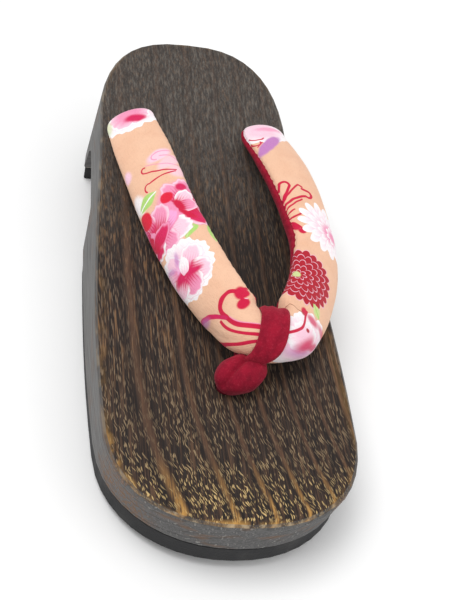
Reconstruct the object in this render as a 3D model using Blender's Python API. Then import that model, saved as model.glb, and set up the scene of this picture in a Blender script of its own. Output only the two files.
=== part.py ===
"""A geta sandal: a one-piece wooden base with an arch cut under it, rubber treads under
forefoot and heel, and a padded two-armed strap that a wrapped loop holds at the toe.

Metres, +Z up. The toe points along -Y, and the floor under the treads is z = 0.
"""

import math
from collections import namedtuple

import bmesh
import bpy
from mathutils import Matrix, Vector

# Clearance between pieces that touch.
GAP = 0.0003

# Base: its length, the heights of the top face at both ends, and the dish between them.
BASE_LENGTH = 0.235
TOE_HEIGHT = 0.0276
HEEL_HEIGHT = 0.0465
TOP_DISH = 0.0080
TOP_EDGE_RADIUS = 0.0022
LOW_EDGE_CHAMFER = 0.0008
TOE_SPRING = 0.0047
TOE_SPRING_RUN = 0.070

# Plan outlines of the base, at its top edge and at its foot, which flares out from it.
TOP_TOE_HALF_WIDTH = 0.0430
TOP_HEEL_HALF_WIDTH = 0.0388
TOP_TOE_CORNER = 0.0436
TOP_TOE_POWER = 2.35
FOOT_TOE_FLARE = 0.0007
FOOT_HEEL_FLARE = 0.0031
FOOT_TOE_CORNER = 0.0458
FOOT_TOE_POWER = 2.13
HEEL_CORNER = 0.0550
HEEL_POWER = 2.7
SIDE_BOW = 0.0017
TOE_OVERHANG = 0.0022
HEEL_OVERHANG = 0.0010

# Arch under the waist: where it starts and ends, its roof, and its slopes in degrees.
ARCH_FROM_TOE = 0.1343
ARCH_FROM_HEEL = 0.0400
ARCH_ROOF = 0.0205
ARCH_FRONT_SLOPE = 50.0
ARCH_REAR_SLOPE = 77.0
ARCH_CORNER_RADIUS = 0.0048

# Rubber treads.
TREAD_THICKNESS = 0.0069
TREAD_INSET = 0.0005
TREAD_CHAMFER = 0.0007

# Strap holes, and the recess for the knot of the front one.
FRONT_HOLE_FROM_TOE = 0.0575
REAR_HOLES_FROM_HEEL = 0.0577
REAR_HOLES_FROM_SIDES = 0.0158
HOLE_DIAMETER = 0.0080
RECESS_DIAMETER = 0.0230
RECESS_DEPTH = 0.0080

# Strap: the point where its arms meet, an arm's own sizes, and its rounded ends.
MEETING_BEHIND_HOLE = 0.0095
MEETING_ASIDE = 0.0133
MEETING_HALF_SPREAD = 0.0056
LEFT_ARM_BOW = 0.0047
RIGHT_ARM_BOW = 0.0147
ARM_WIDTH = 0.0222
ARM_CROWN = 0.0054
ARM_LINING_DEPTH = 0.0060
ARM_LIFT = 0.0034
NOSE_LENGTH = 0.0028
CAP_POWER = 2.5
REAR_END_LENGTH = 0.0080
END_DROP = 0.35

# Toe loop: a band round the meeting point, its neck underneath, and the lobes of its post.
BAND_WIDTH = 0.0098
BAND_THICKNESS = 0.0028
BAND_INNER_LENGTH = 0.0142
BAND_INNER_HEIGHT = 0.0144
BAND_RISE = 0.0142
BAND_YAW = 10.0
NECK_WIDTH = 0.0050
NECK_ASIDE = 0.0080
BAND_CORNER_POWER = 3.0
GROOVE_CORNER_POWER = 12.0
LOBE_DIAMETER = 0.0104

# Knots under the holes.
REAR_KNOT_DIAMETER = 0.0108
REAR_KNOT_HEIGHT = 0.0080
FRONT_KNOT_DIAMETER = 0.0160
FRONT_KNOT_HEIGHT = 0.0085

# Counts of steps and sides.
CORNER_STEPS = 11
SIDE_STEPS = 10
EDGE_STEPS = 3
ARM_STEPS = 30
ARM_SIDES = 20
CAP_STEPS = 5
BAND_STEPS = 32
BAND_SIDES = 12
LOBE_RINGS = 10
ROUND_SIDES = 20

SMOOTH_ANGLE = 38.0

Outline = namedtuple("Outline", "toe_half heel_half toe_corner toe_power heel_corner "
                                "heel_power bow toe_in heel_in")
Level = namedtuple("Level", "outline inset height start end")
Station = namedtuple("Station", "reach bow left_lean right_lean left_width right_width thick "
                                "left_lift right_lift")
Section = namedtuple("Section", "centre half crown depth lean")
Lobe = namedtuple("Lobe", "aside ahead up width depth height")
Turn = namedtuple("Turn", "radius drop")

# A row for each section of an arm, from its rear hole to the meeting point. reach is a share
# of that way, bow a share of the arm's bow, a width a share of ARM_WIDTH, and thick a share of
# ARM_CROWN and ARM_LINING_DEPTH. A lean is in degrees, and a lift is a share of ARM_LIFT, the
# height of an arm's underside over the base.
ARM_STATIONS = [
    Station(0.00, 0.00, 24.0, 5.0, 0.88, 0.88, 0.72, 0.06, 0.06),
    Station(0.20, 0.46, 34.0, 12.0, 0.97, 0.97, 0.98, 0.20, 0.90),
    Station(0.42, 0.86, 42.0, 21.0, 1.00, 1.00, 1.00, 0.25, 1.00),
    Station(0.63, 1.00, 48.0, 33.0, 1.00, 1.00, 1.00, 0.40, 0.70),
    Station(0.83, 0.67, 57.0, 40.0, 0.98, 1.01, 1.00, 0.55, 0.60),
    Station(1.00, 0.00, 68.0, 44.0, 0.84, 1.02, 0.95, 1.30, 1.10),
]

# The two lobes of the post, each an oval solid: its centre aside of, ahead of and above the
# front hole's mouth, and its three widths, as shares of LOBE_DIAMETER.
POST_LOBES = [
    Lobe(0.12, 0.05, 0.42, 1.16, 1.16, 1.14),
    Lobe(0.60, -0.06, 0.50, 1.20, 1.18, 1.26),
]

# Half profile of a knot with two wraps, from its top down: radii as shares of the knot's
# radius, and drops as shares of its height.
KNOT_TURNS = [
    Turn(0.55, 0.00),
    Turn(0.86, 0.07),
    Turn(1.00, 0.26),
    Turn(0.88, 0.49),
    Turn(0.96, 0.70),
    Turn(0.78, 0.92),
    Turn(0.40, 1.00),
]

# Sizes and places that follow from the sizes above.
FOOT_TOE_HALF_WIDTH = TOP_TOE_HALF_WIDTH + FOOT_TOE_FLARE
FOOT_HEEL_HALF_WIDTH = TOP_HEEL_HALF_WIDTH + FOOT_HEEL_FLARE
REAR_HOLES_APART = 2 * (TOP_TOE_HALF_WIDTH - REAR_HOLES_FROM_SIDES)
TOE_Y = -BASE_LENGTH / 2
HEEL_Y = BASE_LENGTH / 2
ARCH_FRONT_Y = TOE_Y + ARCH_FROM_TOE
ARCH_REAR_Y = HEEL_Y - ARCH_FROM_HEEL
FRONT_HOLE_Y = TOE_Y + FRONT_HOLE_FROM_TOE
REAR_HOLE_Y = HEEL_Y - REAR_HOLES_FROM_HEEL
MEETING_Y = FRONT_HOLE_Y + MEETING_BEHIND_HOLE
HOLE_RADIUS = HOLE_DIAMETER / 2
CORD_RADIUS = HOLE_RADIUS - GAP

# How far a cutter runs past what it cuts.
BEYOND = BASE_LENGTH / 10

TOP_OUTLINE = Outline(TOP_TOE_HALF_WIDTH, TOP_HEEL_HALF_WIDTH, TOP_TOE_CORNER, TOP_TOE_POWER,
                      HEEL_CORNER, HEEL_POWER, SIDE_BOW, 0.0, 0.0)
FOOT_OUTLINE = Outline(FOOT_TOE_HALF_WIDTH, FOOT_HEEL_HALF_WIDTH, FOOT_TOE_CORNER,
                       FOOT_TOE_POWER, HEEL_CORNER, HEEL_POWER, SIDE_BOW, TOE_OVERHANG,
                       HEEL_OVERHANG)


def clear_scene():
    """Remove every object of the scene."""
    for old in list(bpy.data.objects):
        bpy.data.objects.remove(old)


def make_material(name, colour, roughness):
    """Return a Principled material."""
    material = bpy.data.materials.new(name)
    material.use_nodes = True
    shader = material.node_tree.nodes["Principled BSDF"]
    shader.inputs["Base Color"].default_value = (*colour, 1.0)
    shader.inputs["Roughness"].default_value = roughness
    shader.inputs["Metallic"].default_value = 0.0
    return material


def scorched_wood():
    """Dark scorched and brushed paulownia."""
    return make_material("scorched_wood", (0.075, 0.052, 0.038), 0.62)


def black_rubber():
    """Matt black foam rubber."""
    return make_material("black_rubber", (0.018, 0.018, 0.020), 0.78)


def printed_crepe():
    """Peach crepe, the ground of the printed cover."""
    return make_material("printed_crepe", (0.78, 0.47, 0.29), 0.80)


def crimson_velveteen():
    """Deep crimson velveteen."""
    return make_material("crimson_velveteen", (0.30, 0.012, 0.040), 0.90)


def mix(first, second, share):
    """Return the value a share of the way from first to second."""
    return first + (second - first) * share


def top_height(y):
    """Height of the base's top face: it rises from toe to heel in a shallow dish."""
    share = (y - TOE_Y) / BASE_LENGTH
    return mix(TOE_HEIGHT, HEEL_HEIGHT, share) - 4 * TOP_DISH * share * (1 - share)


def sole_height(y):
    """Height of the treads' underside: flat, with a spring up to the toe."""
    share = max(0.0, 1 - (y - TOE_Y) / TOE_SPRING_RUN)
    return TOE_SPRING * share ** 2


def foot_height(y):
    """Height of the wood's underside, which sits on the treads."""
    return sole_height(y) + TREAD_THICKNESS + GAP


def corner_width(half, share, power):
    """Half the width at a share of a round corner's length from its tip."""
    share = max(0.0, min(1.0, share))
    return half * (1 - (1 - share) ** power) ** (1 / power)


def half_width(outline, inset, y):
    """Half the width of a plan outline at y, drawn in by inset all round."""
    toe = TOE_Y + outline.toe_in + inset
    heel = HEEL_Y - outline.heel_in - inset
    toe_end = toe + outline.toe_corner - inset
    heel_start = heel - outline.heel_corner + inset
    toe_half = outline.toe_half - inset
    heel_half = outline.heel_half - inset
    if y < toe_end:
        return corner_width(toe_half, (y - toe) / (toe_end - toe), outline.toe_power)
    if y > heel_start:
        return corner_width(heel_half, (heel - y) / (heel - heel_start), outline.heel_power)
    share = (y - toe_end) / (heel_start - toe_end)
    smooth = share * share * (3 - 2 * share)
    return mix(toe_half, heel_half, smooth) + 4 * outline.bow * share * (1 - share)


def blend_outlines(share):
    """Return the outline a share of the way from the foot to the top edge."""
    return Outline(*[mix(low, high, share) for low, high in zip(FOOT_OUTLINE, TOP_OUTLINE)])


def corner_shares(power):
    """Shares of a corner's length from its tip, close together where it is round."""
    angles = [math.pi / 2 * step / CORNER_STEPS for step in range(1, CORNER_STEPS)]
    return [1 - math.cos(angle) ** (2 / power) for angle in angles] + [1.0]


def length_stations():
    """y of each cross line of the whole base between its two tips."""
    toe_end = TOE_Y + TOP_TOE_CORNER
    heel_start = HEEL_Y - HEEL_CORNER
    toe = [TOE_Y + TOP_TOE_CORNER * share for share in corner_shares(TOP_TOE_POWER)]
    side = [mix(toe_end, heel_start, step / SIDE_STEPS) for step in range(1, SIDE_STEPS)]
    heel = [HEEL_Y - HEEL_CORNER * share for share in reversed(corner_shares(HEEL_POWER))]
    return toe + side + heel


def cross_shares(start, end):
    """Shares of the way from start to end at which a slab has its cross lines.

    A start or an end of None is the outline's own round tip.
    """
    first = TOE_Y if start is None else start
    last = HEEL_Y if end is None else end
    low = first if start is None else first + TOP_EDGE_RADIUS
    high = last if end is None else last - TOP_EDGE_RADIUS
    inner = [(y - first) / (last - first) for y in length_stations() if low < y < high]
    return [0.0] + inner + [1.0]


def build_slab(levels):
    """Return a closed mesh from plan outlines stacked upwards, with straight cross lines."""
    mesh = bmesh.new()
    toe_tip = levels[0].start is None
    heel_tip = levels[0].end is None
    shares = cross_shares(levels[0].start, levels[0].end)
    rows = []
    for level in levels:
        start = TOE_Y + level.outline.toe_in + level.inset if toe_tip else level.start
        end = HEEL_Y - level.outline.heel_in - level.inset if heel_tip else level.end
        row = []
        for share in shares:
            y = mix(start, end, share)
            height = level.height(y)
            if (share == 0.0 and toe_tip) or (share == 1.0 and heel_tip):
                tip = mesh.verts.new((0.0, y, height))
                row.append((tip, tip))
            else:
                half = half_width(level.outline, level.inset, y)
                row.append((mesh.verts.new((-half, y, height)),
                            mesh.verts.new((half, y, height))))
        rows.append(row)
    for low, high in zip(rows, rows[1:]):
        for side in (0, 1):
            for index in range(len(shares) - 1):
                mesh.faces.new((low[index][side], low[index + 1][side],
                                high[index + 1][side], high[index][side]))
        for index, is_tip in ((0, toe_tip), (-1, heel_tip)):
            if not is_tip:
                mesh.faces.new((low[index][0], low[index][1], high[index][1], high[index][0]))
    for row in (rows[0], rows[-1]):
        for near, far in zip(row, row[1:]):
            corners = list(dict.fromkeys((near[0], near[1], far[1], far[0])))
            mesh.faces.new(corners)
    return mesh


def build_tube(rings, tips):
    """Return a closed mesh through rings of points, with a point beyond each end."""
    mesh = bmesh.new()
    loops = [[mesh.verts.new(point) for point in ring] for ring in rings]
    for near, far in zip(loops, loops[1:]):
        for index in range(len(near)):
            following = (index + 1) % len(near)
            mesh.faces.new((near[index], near[following], far[following], far[index]))
    for loop, tip in ((loops[0], tips[0]), (loops[-1], tips[1])):
        apex = mesh.verts.new(tip)
        for index in range(len(loop)):
            mesh.faces.new((loop[index], loop[(index + 1) % len(loop)], apex))
    return mesh


def add_object(name, mesh, material):
    """Add a mesh to the scene as a smooth-shaded object with its faces pointing out."""
    bmesh.ops.recalc_face_normals(mesh, faces=mesh.faces)
    data = bpy.data.meshes.new(name)
    mesh.to_mesh(data)
    mesh.free()
    data.shade_smooth()
    data.set_sharp_from_angle(angle=math.radians(SMOOTH_ANGLE))
    item = bpy.data.objects.new(name, data)
    bpy.context.scene.collection.objects.link(item)
    if material is not None:
        data.materials.append(material)
    return item


def add_tool(name, mesh):
    """Add a shape that only cuts or joins other objects."""
    tool = add_object(name, mesh, None)
    tool.hide_render = True
    tool.display_type = "WIRE"
    return tool


def combine(item, tool, operation):
    """Cut an object with a tool, or join the tool's shape to it."""
    boolean = item.modifiers.new(tool.name, "BOOLEAN")
    boolean.operation = operation
    boolean.solver = "EXACT"
    boolean.object = tool


def build_drum(x, y, low, high, radius):
    """Return an upright round drum."""
    mesh = bmesh.new()
    place = Matrix.Translation((x, y, (low + high) / 2))
    bmesh.ops.create_cone(mesh, cap_ends=True, segments=ROUND_SIDES, radius1=radius,
                          radius2=radius, depth=high - low, matrix=place)
    return mesh


def arch_front(height):
    """y of the arch's front slope at a height."""
    return ARCH_FRONT_Y + height / math.tan(math.radians(ARCH_FRONT_SLOPE))


def arch_rear(height):
    """y of the arch's rear slope at a height."""
    return ARCH_REAR_Y - height / math.tan(math.radians(ARCH_REAR_SLOPE))


def round_corner(before, corner, after):
    """Points of an arc in place of a corner of the arch."""
    inward = (before - corner).normalized()
    outward = (after - corner).normalized()
    turn = math.acos(inward.dot(outward)) / 2
    tangent = ARCH_CORNER_RADIUS / math.tan(turn)
    middle = corner + (inward + outward).normalized() * ARCH_CORNER_RADIUS / math.sin(turn)
    first = corner + inward * tangent - middle
    last = corner + outward * tangent - middle
    steps = 2 * EDGE_STEPS
    return [middle + ARCH_CORNER_RADIUS * first.slerp(last, step / steps)
            for step in range(steps + 1)]


def build_arch():
    """Return the shape of the arch, which runs right across the base."""
    low = -BEYOND
    feet = (Vector((0.0, arch_front(low), low)), Vector((0.0, arch_rear(low), low)))
    corners = (Vector((0.0, arch_front(ARCH_ROOF), ARCH_ROOF)),
               Vector((0.0, arch_rear(ARCH_ROOF), ARCH_ROOF)))
    profile = [feet[0]]
    profile += round_corner(feet[0], corners[0], corners[1])
    profile += round_corner(corners[0], corners[1], feet[1])
    profile.append(feet[1])
    reach = max(FOOT_TOE_HALF_WIDTH, FOOT_HEEL_HALF_WIDTH) + BEYOND
    mesh = bmesh.new()
    near = mesh.faces.new([mesh.verts.new((-reach, point.y, point.z)) for point in profile])
    sweep = bmesh.ops.extrude_face_region(mesh, geom=[near])
    moved = [part for part in sweep["geom"] if isinstance(part, bmesh.types.BMVert)]
    bmesh.ops.translate(mesh, verts=moved, vec=(2 * reach, 0.0, 0.0))
    return mesh


def wall_height(share, offset):
    """Return the height function of a wall level: a share of the way up, plus an offset."""
    return lambda y: mix(foot_height(y), top_height(y), share) + offset


def base_levels():
    """Levels of the wooden base: a chamfered foot, a flaring wall and a rounded top edge."""
    levels = [Level(FOOT_OUTLINE, LOW_EDGE_CHAMFER, wall_height(0.0, 0.0), None, None),
              Level(FOOT_OUTLINE, 0.0, wall_height(0.0, LOW_EDGE_CHAMFER), None, None),
              Level(blend_outlines(0.5), 0.0, wall_height(0.5, 0.0), None, None)]
    for step in range(EDGE_STEPS + 1):
        angle = math.pi / 2 * step / EDGE_STEPS
        inset = TOP_EDGE_RADIUS * (1 - math.cos(angle))
        drop = TOP_EDGE_RADIUS * (1 - math.sin(angle))
        levels.append(Level(TOP_OUTLINE, inset, wall_height(1.0, -drop), None, None))
    return levels


def make_base(holes):
    """The wooden base, with its arch, its three strap holes and the front knot's recess."""
    base = add_object("wood_base", build_slab(base_levels()), scorched_wood())
    combine(base, add_tool("arch_tool", build_arch()), "DIFFERENCE")
    roof = foot_height(FRONT_HOLE_Y) + RECESS_DEPTH
    recess = build_drum(0.0, FRONT_HOLE_Y, -BEYOND, roof, RECESS_DIAMETER / 2)
    combine(base, add_tool("recess_tool", recess), "DIFFERENCE")
    for name, x, y in holes:
        drum = build_drum(x, y, 0.0, top_height(y) + BEYOND, HOLE_RADIUS)
        combine(base, add_tool(name, drum), "DIFFERENCE")


def tread_levels(from_front):
    """Levels of a tread: one runs back from the toe to the arch, one from the arch back."""
    levels = []
    for inset, share in ((TREAD_CHAMFER, 0.0), (0.0, TREAD_CHAMFER / TREAD_THICKNESS),
                         (0.0, 1.0)):
        rise = share * TREAD_THICKNESS
        start = None if from_front else arch_rear(rise)
        end = arch_front(rise) if from_front else None
        levels.append(Level(FOOT_OUTLINE, TREAD_INSET + inset,
                            lambda y, rise=rise: sole_height(y) + rise, start, end))
    return levels


def make_treads():
    """The rubber treads: the front one has a round hole under the knot's recess."""
    rubber = black_rubber()
    front = add_object("front_tread", build_slab(tread_levels(True)), rubber)
    drum = build_drum(0.0, FRONT_HOLE_Y, -BEYOND, BEYOND, RECESS_DIAMETER / 2)
    combine(front, add_tool("tread_hole_tool", drum), "DIFFERENCE")
    add_object("heel_tread", build_slab(tread_levels(False)), rubber)


def blend_stations(reach):
    """Return the smooth row of the arm's table at a reach."""
    rows = ARM_STATIONS
    index = min(len(rows) - 2, sum(1 for row in rows[1:] if row.reach <= reach))
    near, far = rows[index], rows[index + 1]
    before = rows[max(0, index - 1)]
    after = rows[min(len(rows) - 1, index + 2)]
    span = far.reach - near.reach
    share = (reach - near.reach) / span
    values = []
    for start, end, past, coming in zip(near, far, before, after):
        slope_in = (end - past) / (far.reach - before.reach) * span
        slope_out = (coming - start) / (after.reach - near.reach) * span
        values.append(start * (1 + 2 * share) * (1 - share) ** 2
                      + slope_in * share * (1 - share) ** 2
                      + end * share ** 2 * (3 - 2 * share)
                      - slope_out * share ** 2 * (1 - share))
    return Station(*values)


def arm_section(side, reach):
    """Centre and sizes of an arm's section. side is -1 for the left arm and 1 for the right."""
    row = blend_stations(reach)
    bow = LEFT_ARM_BOW if side < 0 else RIGHT_ARM_BOW
    lean = math.radians(row.left_lean if side < 0 else row.right_lean)
    lift = row.left_lift if side < 0 else row.right_lift
    half = ARM_WIDTH / 2 * (row.left_width if side < 0 else row.right_width)
    depth = ARM_LINING_DEPTH * row.thick
    rear_x = side * REAR_HOLES_APART / 2
    front_x = MEETING_ASIDE + side * MEETING_HALF_SPREAD
    x = mix(rear_x, front_x, reach) + side * bow * row.bow
    y = mix(REAR_HOLE_Y, MEETING_Y, reach)
    below = math.hypot(half * math.sin(lean), depth * math.cos(lean))
    z = top_height(y) + 2 * GAP + ARM_LIFT * lift + below
    return Section(Vector((x, y, z)), half, ARM_CROWN * row.thick, depth, lean)


def section_ring(section, forward, side, scale):
    """Points round an oval section that leans outwards and faces along the arm."""
    across = forward.cross(Vector((0.0, 0.0, 1.0))).normalized() * -side
    upright = forward.cross(across).normalized() * side
    out = across * math.cos(section.lean) - upright * math.sin(section.lean)
    face = across * math.sin(section.lean) + upright * math.cos(section.lean)
    ring = []
    for index in range(ARM_SIDES):
        angle = 2 * math.pi * index / ARM_SIDES
        rise = section.crown if math.sin(angle) > 0 else section.depth
        ring.append(section.centre + out * section.half * math.cos(angle) * scale
                    + face * rise * math.sin(angle) * scale)
    return ring


def build_arm(side):
    """Return one padded arm of the strap, from its seat over the rear hole to its nose."""
    step = 1 / ARM_STEPS
    sections = [arm_section(side, index * step) for index in range(ARM_STEPS + 1)]
    rings = []
    for index, section in enumerate(sections):
        before = sections[max(0, index - 1)].centre
        after = sections[min(ARM_STEPS, index + 1)].centre
        rings.append(section_ring(section, (after - before).normalized(), side, 1.0))
    rear, front = sections[0], sections[-1]
    backward = (rear.centre - sections[1].centre).normalized()
    onward = (front.centre - sections[-2].centre).normalized()
    floor = top_height(rear.centre.y) + 2 * GAP
    tips = []
    for section, direction, length, seated in ((rear, backward, REAR_END_LENGTH, True),
                                               (front, onward, NOSE_LENGTH, False)):
        cap = []
        for count in range(1, CAP_STEPS + 1):
            angle = math.pi / 2 * count / CAP_STEPS
            scale = max(0.0, math.cos(angle)) ** (2 / CAP_POWER)
            centre = section.centre + direction * length * math.sin(angle) ** (2 / CAP_POWER)
            if seated:
                seat = top_height(centre.y) + 2 * GAP
                centre.z = seat + (section.centre.z - floor) * mix(END_DROP, 1.0, scale)
            if count == CAP_STEPS:
                tips.append(centre)
            else:
                forward = -direction if seated else direction
                moved = section._replace(centre=centre)
                cap.append(section_ring(moved, forward, side, scale))
        rings = cap[::-1] + rings if seated else rings + cap
    return build_tube(rings, tips)


def band_directions():
    """The toe band's own directions: forward, and sideways along its width."""
    yaw = math.radians(BAND_YAW)
    forward = Vector((-math.sin(yaw), -math.cos(yaw), 0.0))
    return forward, forward.cross(Vector((0.0, 0.0, 1.0)))


def build_band(grow, reach, power):
    """Return the band round the strap, grown all over and reaching further outwards.

    It narrows towards its underside and leans to the post. A higher power gives its section
    squarer corners.
    """
    forward, aside = band_directions()
    up = Vector((0.0, 0.0, 1.0))
    centre = Vector((MEETING_ASIDE, MEETING_Y, top_height(MEETING_Y) + BAND_RISE))
    inner = -grow
    outer = BAND_THICKNESS + grow + reach
    mesh = bmesh.new()
    loops = []
    for step in range(BAND_STEPS):
        turn = 2 * math.pi * step / BAND_STEPS
        low = ((1 - math.sin(turn)) / 2) ** 2
        half = mix(BAND_WIDTH, NECK_WIDTH, low) / 2 + grow
        middle = centre + aside * NECK_ASIDE * low
        loop = []
        for index in range(BAND_SIDES):
            angle = 2 * math.pi * (index + 0.5) / BAND_SIDES
            wide = math.copysign(abs(math.cos(angle)) ** (2 / power), math.cos(angle))
            thick = math.copysign(abs(math.sin(angle)) ** (2 / power), math.sin(angle))
            out = mix(inner, outer, (thick + 1) / 2)
            point = (middle + aside * half * wide
                     + forward * (BAND_INNER_LENGTH / 2 + out) * math.cos(turn)
                     + up * (BAND_INNER_HEIGHT / 2 + out) * math.sin(turn))
            loop.append(mesh.verts.new(point))
        loops.append(loop)
    for near, far in zip(loops, loops[1:] + loops[:1]):
        for index in range(BAND_SIDES):
            following = (index + 1) % BAND_SIDES
            mesh.faces.new((near[index], near[following], far[following], far[index]))
    return mesh


def build_lobe(lobe, grow):
    """Return one lobe of the toe post, grown all over."""
    mouth = Vector((0.0, FRONT_HOLE_Y, top_height(FRONT_HOLE_Y)))
    centre = mouth + LOBE_DIAMETER * Vector((lobe.aside, -lobe.ahead, lobe.up))
    halves = [LOBE_DIAMETER * share / 2 + grow for share in (lobe.width, lobe.depth,
                                                            lobe.height)]
    mesh = bmesh.new()
    place = Matrix.Translation(centre) @ Matrix.Diagonal((*halves, 1.0))
    bmesh.ops.create_uvsphere(mesh, u_segments=ROUND_SIDES, v_segments=LOBE_RINGS,
                              radius=1.0, matrix=place)
    return mesh


def make_toe_loop():
    """The wrapped toe loop: band, lobed post and the cord down through the front hole."""
    loop = add_object("toe_loop", build_band(0.0, 0.0, BAND_CORNER_POWER), crimson_velveteen())
    for number, lobe in enumerate(POST_LOBES):
        combine(loop, add_tool(f"lobe_tool_{number}", build_lobe(lobe, 0.0)), "UNION")
    seat = top_height(FRONT_HOLE_Y + LOBE_DIAMETER) + GAP
    floor = build_drum(0.0, FRONT_HOLE_Y, seat - LOBE_DIAMETER, seat, 2 * LOBE_DIAMETER)
    combine(loop, add_tool("post_seat_tool", floor), "DIFFERENCE")
    low = foot_height(FRONT_HOLE_Y) + RECESS_DEPTH
    high = seat + LOBE_DIAMETER / 2
    cord = build_drum(0.0, FRONT_HOLE_Y, low, high, CORD_RADIUS)
    combine(loop, add_tool("front_cord_tool", cord), "UNION")


def make_strap(rear_holes):
    """The padded strap: two arms joined at their noses, with a cord down each rear hole."""
    strap = add_object("strap", build_arm(-1), printed_crepe())
    combine(strap, add_tool("right_arm_tool", build_arm(1)), "UNION")
    for name, x, y in rear_holes:
        cord = build_drum(x, y, ARCH_ROOF, top_height(y) + ARM_LINING_DEPTH, CORD_RADIUS)
        combine(strap, add_tool(f"{name}_cord_tool", cord), "UNION")
    groove = build_band(GAP, BAND_THICKNESS / 4, GROOVE_CORNER_POWER)
    combine(strap, add_tool("band_groove_tool", groove), "DIFFERENCE")
    for number, lobe in enumerate(POST_LOBES):
        dent = build_lobe(lobe, GAP)
        combine(strap, add_tool(f"lobe_dent_tool_{number}", dent), "DIFFERENCE")


def make_knot(name, x, y, top, diameter, height):
    """A knot of two wraps under the end of a cord."""
    mesh = bmesh.new()
    loops = []
    for turn in KNOT_TURNS:
        radius = diameter / 2 * turn.radius
        angles = [2 * math.pi * index / ROUND_SIDES for index in range(ROUND_SIDES)]
        loops.append([mesh.verts.new((x + radius * math.cos(angle),
                                      y + radius * math.sin(angle),
                                      top - height * turn.drop)) for angle in angles])
    for near, far in zip(loops, loops[1:]):
        for index in range(ROUND_SIDES):
            following = (index + 1) % ROUND_SIDES
            mesh.faces.new((near[index], near[following], far[following], far[index]))
    mesh.faces.new(loops[0])
    mesh.faces.new(loops[-1])
    add_object(name, mesh, crimson_velveteen())


def main():
    """Build the sandal."""
    clear_scene()
    rear_holes = [("left_rear_hole", -REAR_HOLES_APART / 2, REAR_HOLE_Y),
                  ("right_rear_hole", REAR_HOLES_APART / 2, REAR_HOLE_Y)]
    make_base([("front_hole", 0.0, FRONT_HOLE_Y)] + rear_holes)
    make_treads()
    make_strap(rear_holes)
    make_toe_loop()
    recess_roof = foot_height(FRONT_HOLE_Y) + RECESS_DEPTH
    make_knot("front_knot", 0.0, FRONT_HOLE_Y, recess_roof - GAP, FRONT_KNOT_DIAMETER,
              FRONT_KNOT_HEIGHT)
    for name, (_, x, y) in zip(("left_rear_knot", "right_rear_knot"), rear_holes):
        make_knot(name, x, y, ARCH_ROOF - GAP, REAR_KNOT_DIAMETER, REAR_KNOT_HEIGHT)


main()
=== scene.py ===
"""Looks of a geta sandal: scorched brushed wood, foam rubber treads, a padded printed strap.

Metres, +Z up. The toe points along -Y, and the floor under the treads is z = 0.
"""

import cmath
import logging
import math
from dataclasses import dataclass, field, replace
from enum import Enum, auto
from types import SimpleNamespace
from typing import Callable

import bmesh
import bpy
import numpy as np
from mathutils import Color, Matrix, Vector, noise

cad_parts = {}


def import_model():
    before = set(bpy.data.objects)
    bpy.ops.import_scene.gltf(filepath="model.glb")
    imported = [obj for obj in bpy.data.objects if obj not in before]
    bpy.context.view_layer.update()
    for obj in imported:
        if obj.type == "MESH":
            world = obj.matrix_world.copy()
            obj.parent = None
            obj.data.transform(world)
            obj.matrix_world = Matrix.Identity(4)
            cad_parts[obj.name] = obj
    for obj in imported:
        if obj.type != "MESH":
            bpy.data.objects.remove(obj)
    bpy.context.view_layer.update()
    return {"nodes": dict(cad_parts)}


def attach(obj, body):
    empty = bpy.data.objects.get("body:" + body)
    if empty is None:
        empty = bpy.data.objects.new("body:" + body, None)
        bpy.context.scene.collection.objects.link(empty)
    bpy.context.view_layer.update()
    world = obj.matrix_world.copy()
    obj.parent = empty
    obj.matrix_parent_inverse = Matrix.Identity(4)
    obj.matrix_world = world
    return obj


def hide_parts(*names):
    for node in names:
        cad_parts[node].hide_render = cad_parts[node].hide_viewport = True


LOG = logging.getLogger("geta")
ROOT = "root"
Pair = tuple[float, float]
Triple = tuple[float, float, float]
Material = bpy.types.Material
NodeTree = bpy.types.NodeTree
Piece = bpy.types.Object
Place = float | Vector
Socket = bpy.types.NodeSocket
UP = Vector((0.0, 0.0, 1.0))
MM = 1000.0
DEGREE = math.radians(1)


def mix(first: float, second: float, share: float) -> float:
    """Return the value a share of the way from first to second."""
    return first + (second - first) * share


def smooth(low: float, high: float, value: float) -> float:
    """Return 0 below low, 1 above high, and a smooth rise between them."""
    share = min(1.0, max(0.0, (value - low) / (high - low)))
    return share * share * (3 - 2 * share)


def bell(value: float, width: float) -> float:
    """Return 1 at 0, falling off either way over the width."""
    return math.exp(-((value / width) ** 2))


def curve(start: Place, leave: Place, end: Place, arrive: Place, share: float) -> Place:
    """Return a place on the smooth curve between two ends, which are numbers or vectors.

    Args:
        start: The first end.
        leave: The slope there.
        end: The other end.
        arrive: The slope there.
        share: How far along the place is, from 0 to 1.

    Returns:
        The place.
    """
    rest = 1 - share
    return (start * ((1 + 2 * share) * rest**2) + leave * (share * rest**2)
            + end * (share**2 * (3 - 2 * share)) - arrive * (share**2 * rest))


def lengths_round(ring: list[Vector]) -> list[float]:
    """Return the length from a ring's first point to each, and last the whole way round.

    Args:
        ring: The points, in order.

    Returns:
        The lengths, one more than the points.
    """
    run = [0.0]
    for near, far in zip(ring, ring[1:] + ring[:1]):
        run.append(run[-1] + (far - near).length)
    return run


def shown(name: str, data: bpy.types.ID) -> Piece:
    """Put a new object into the scene.

    Args:
        name: The object's name.
        data: Its mesh, lamp or camera.

    Returns:
        The object.
    """
    made = bpy.data.objects.new(name, data)
    bpy.context.scene.collection.objects.link(made)
    return made


def smooth_mesh(mesh: bpy.types.Mesh) -> None:
    """Shade all of a mesh's faces smooth."""
    mesh.polygons.foreach_set("use_smooth", [True] * len(mesh.polygons))


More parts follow.
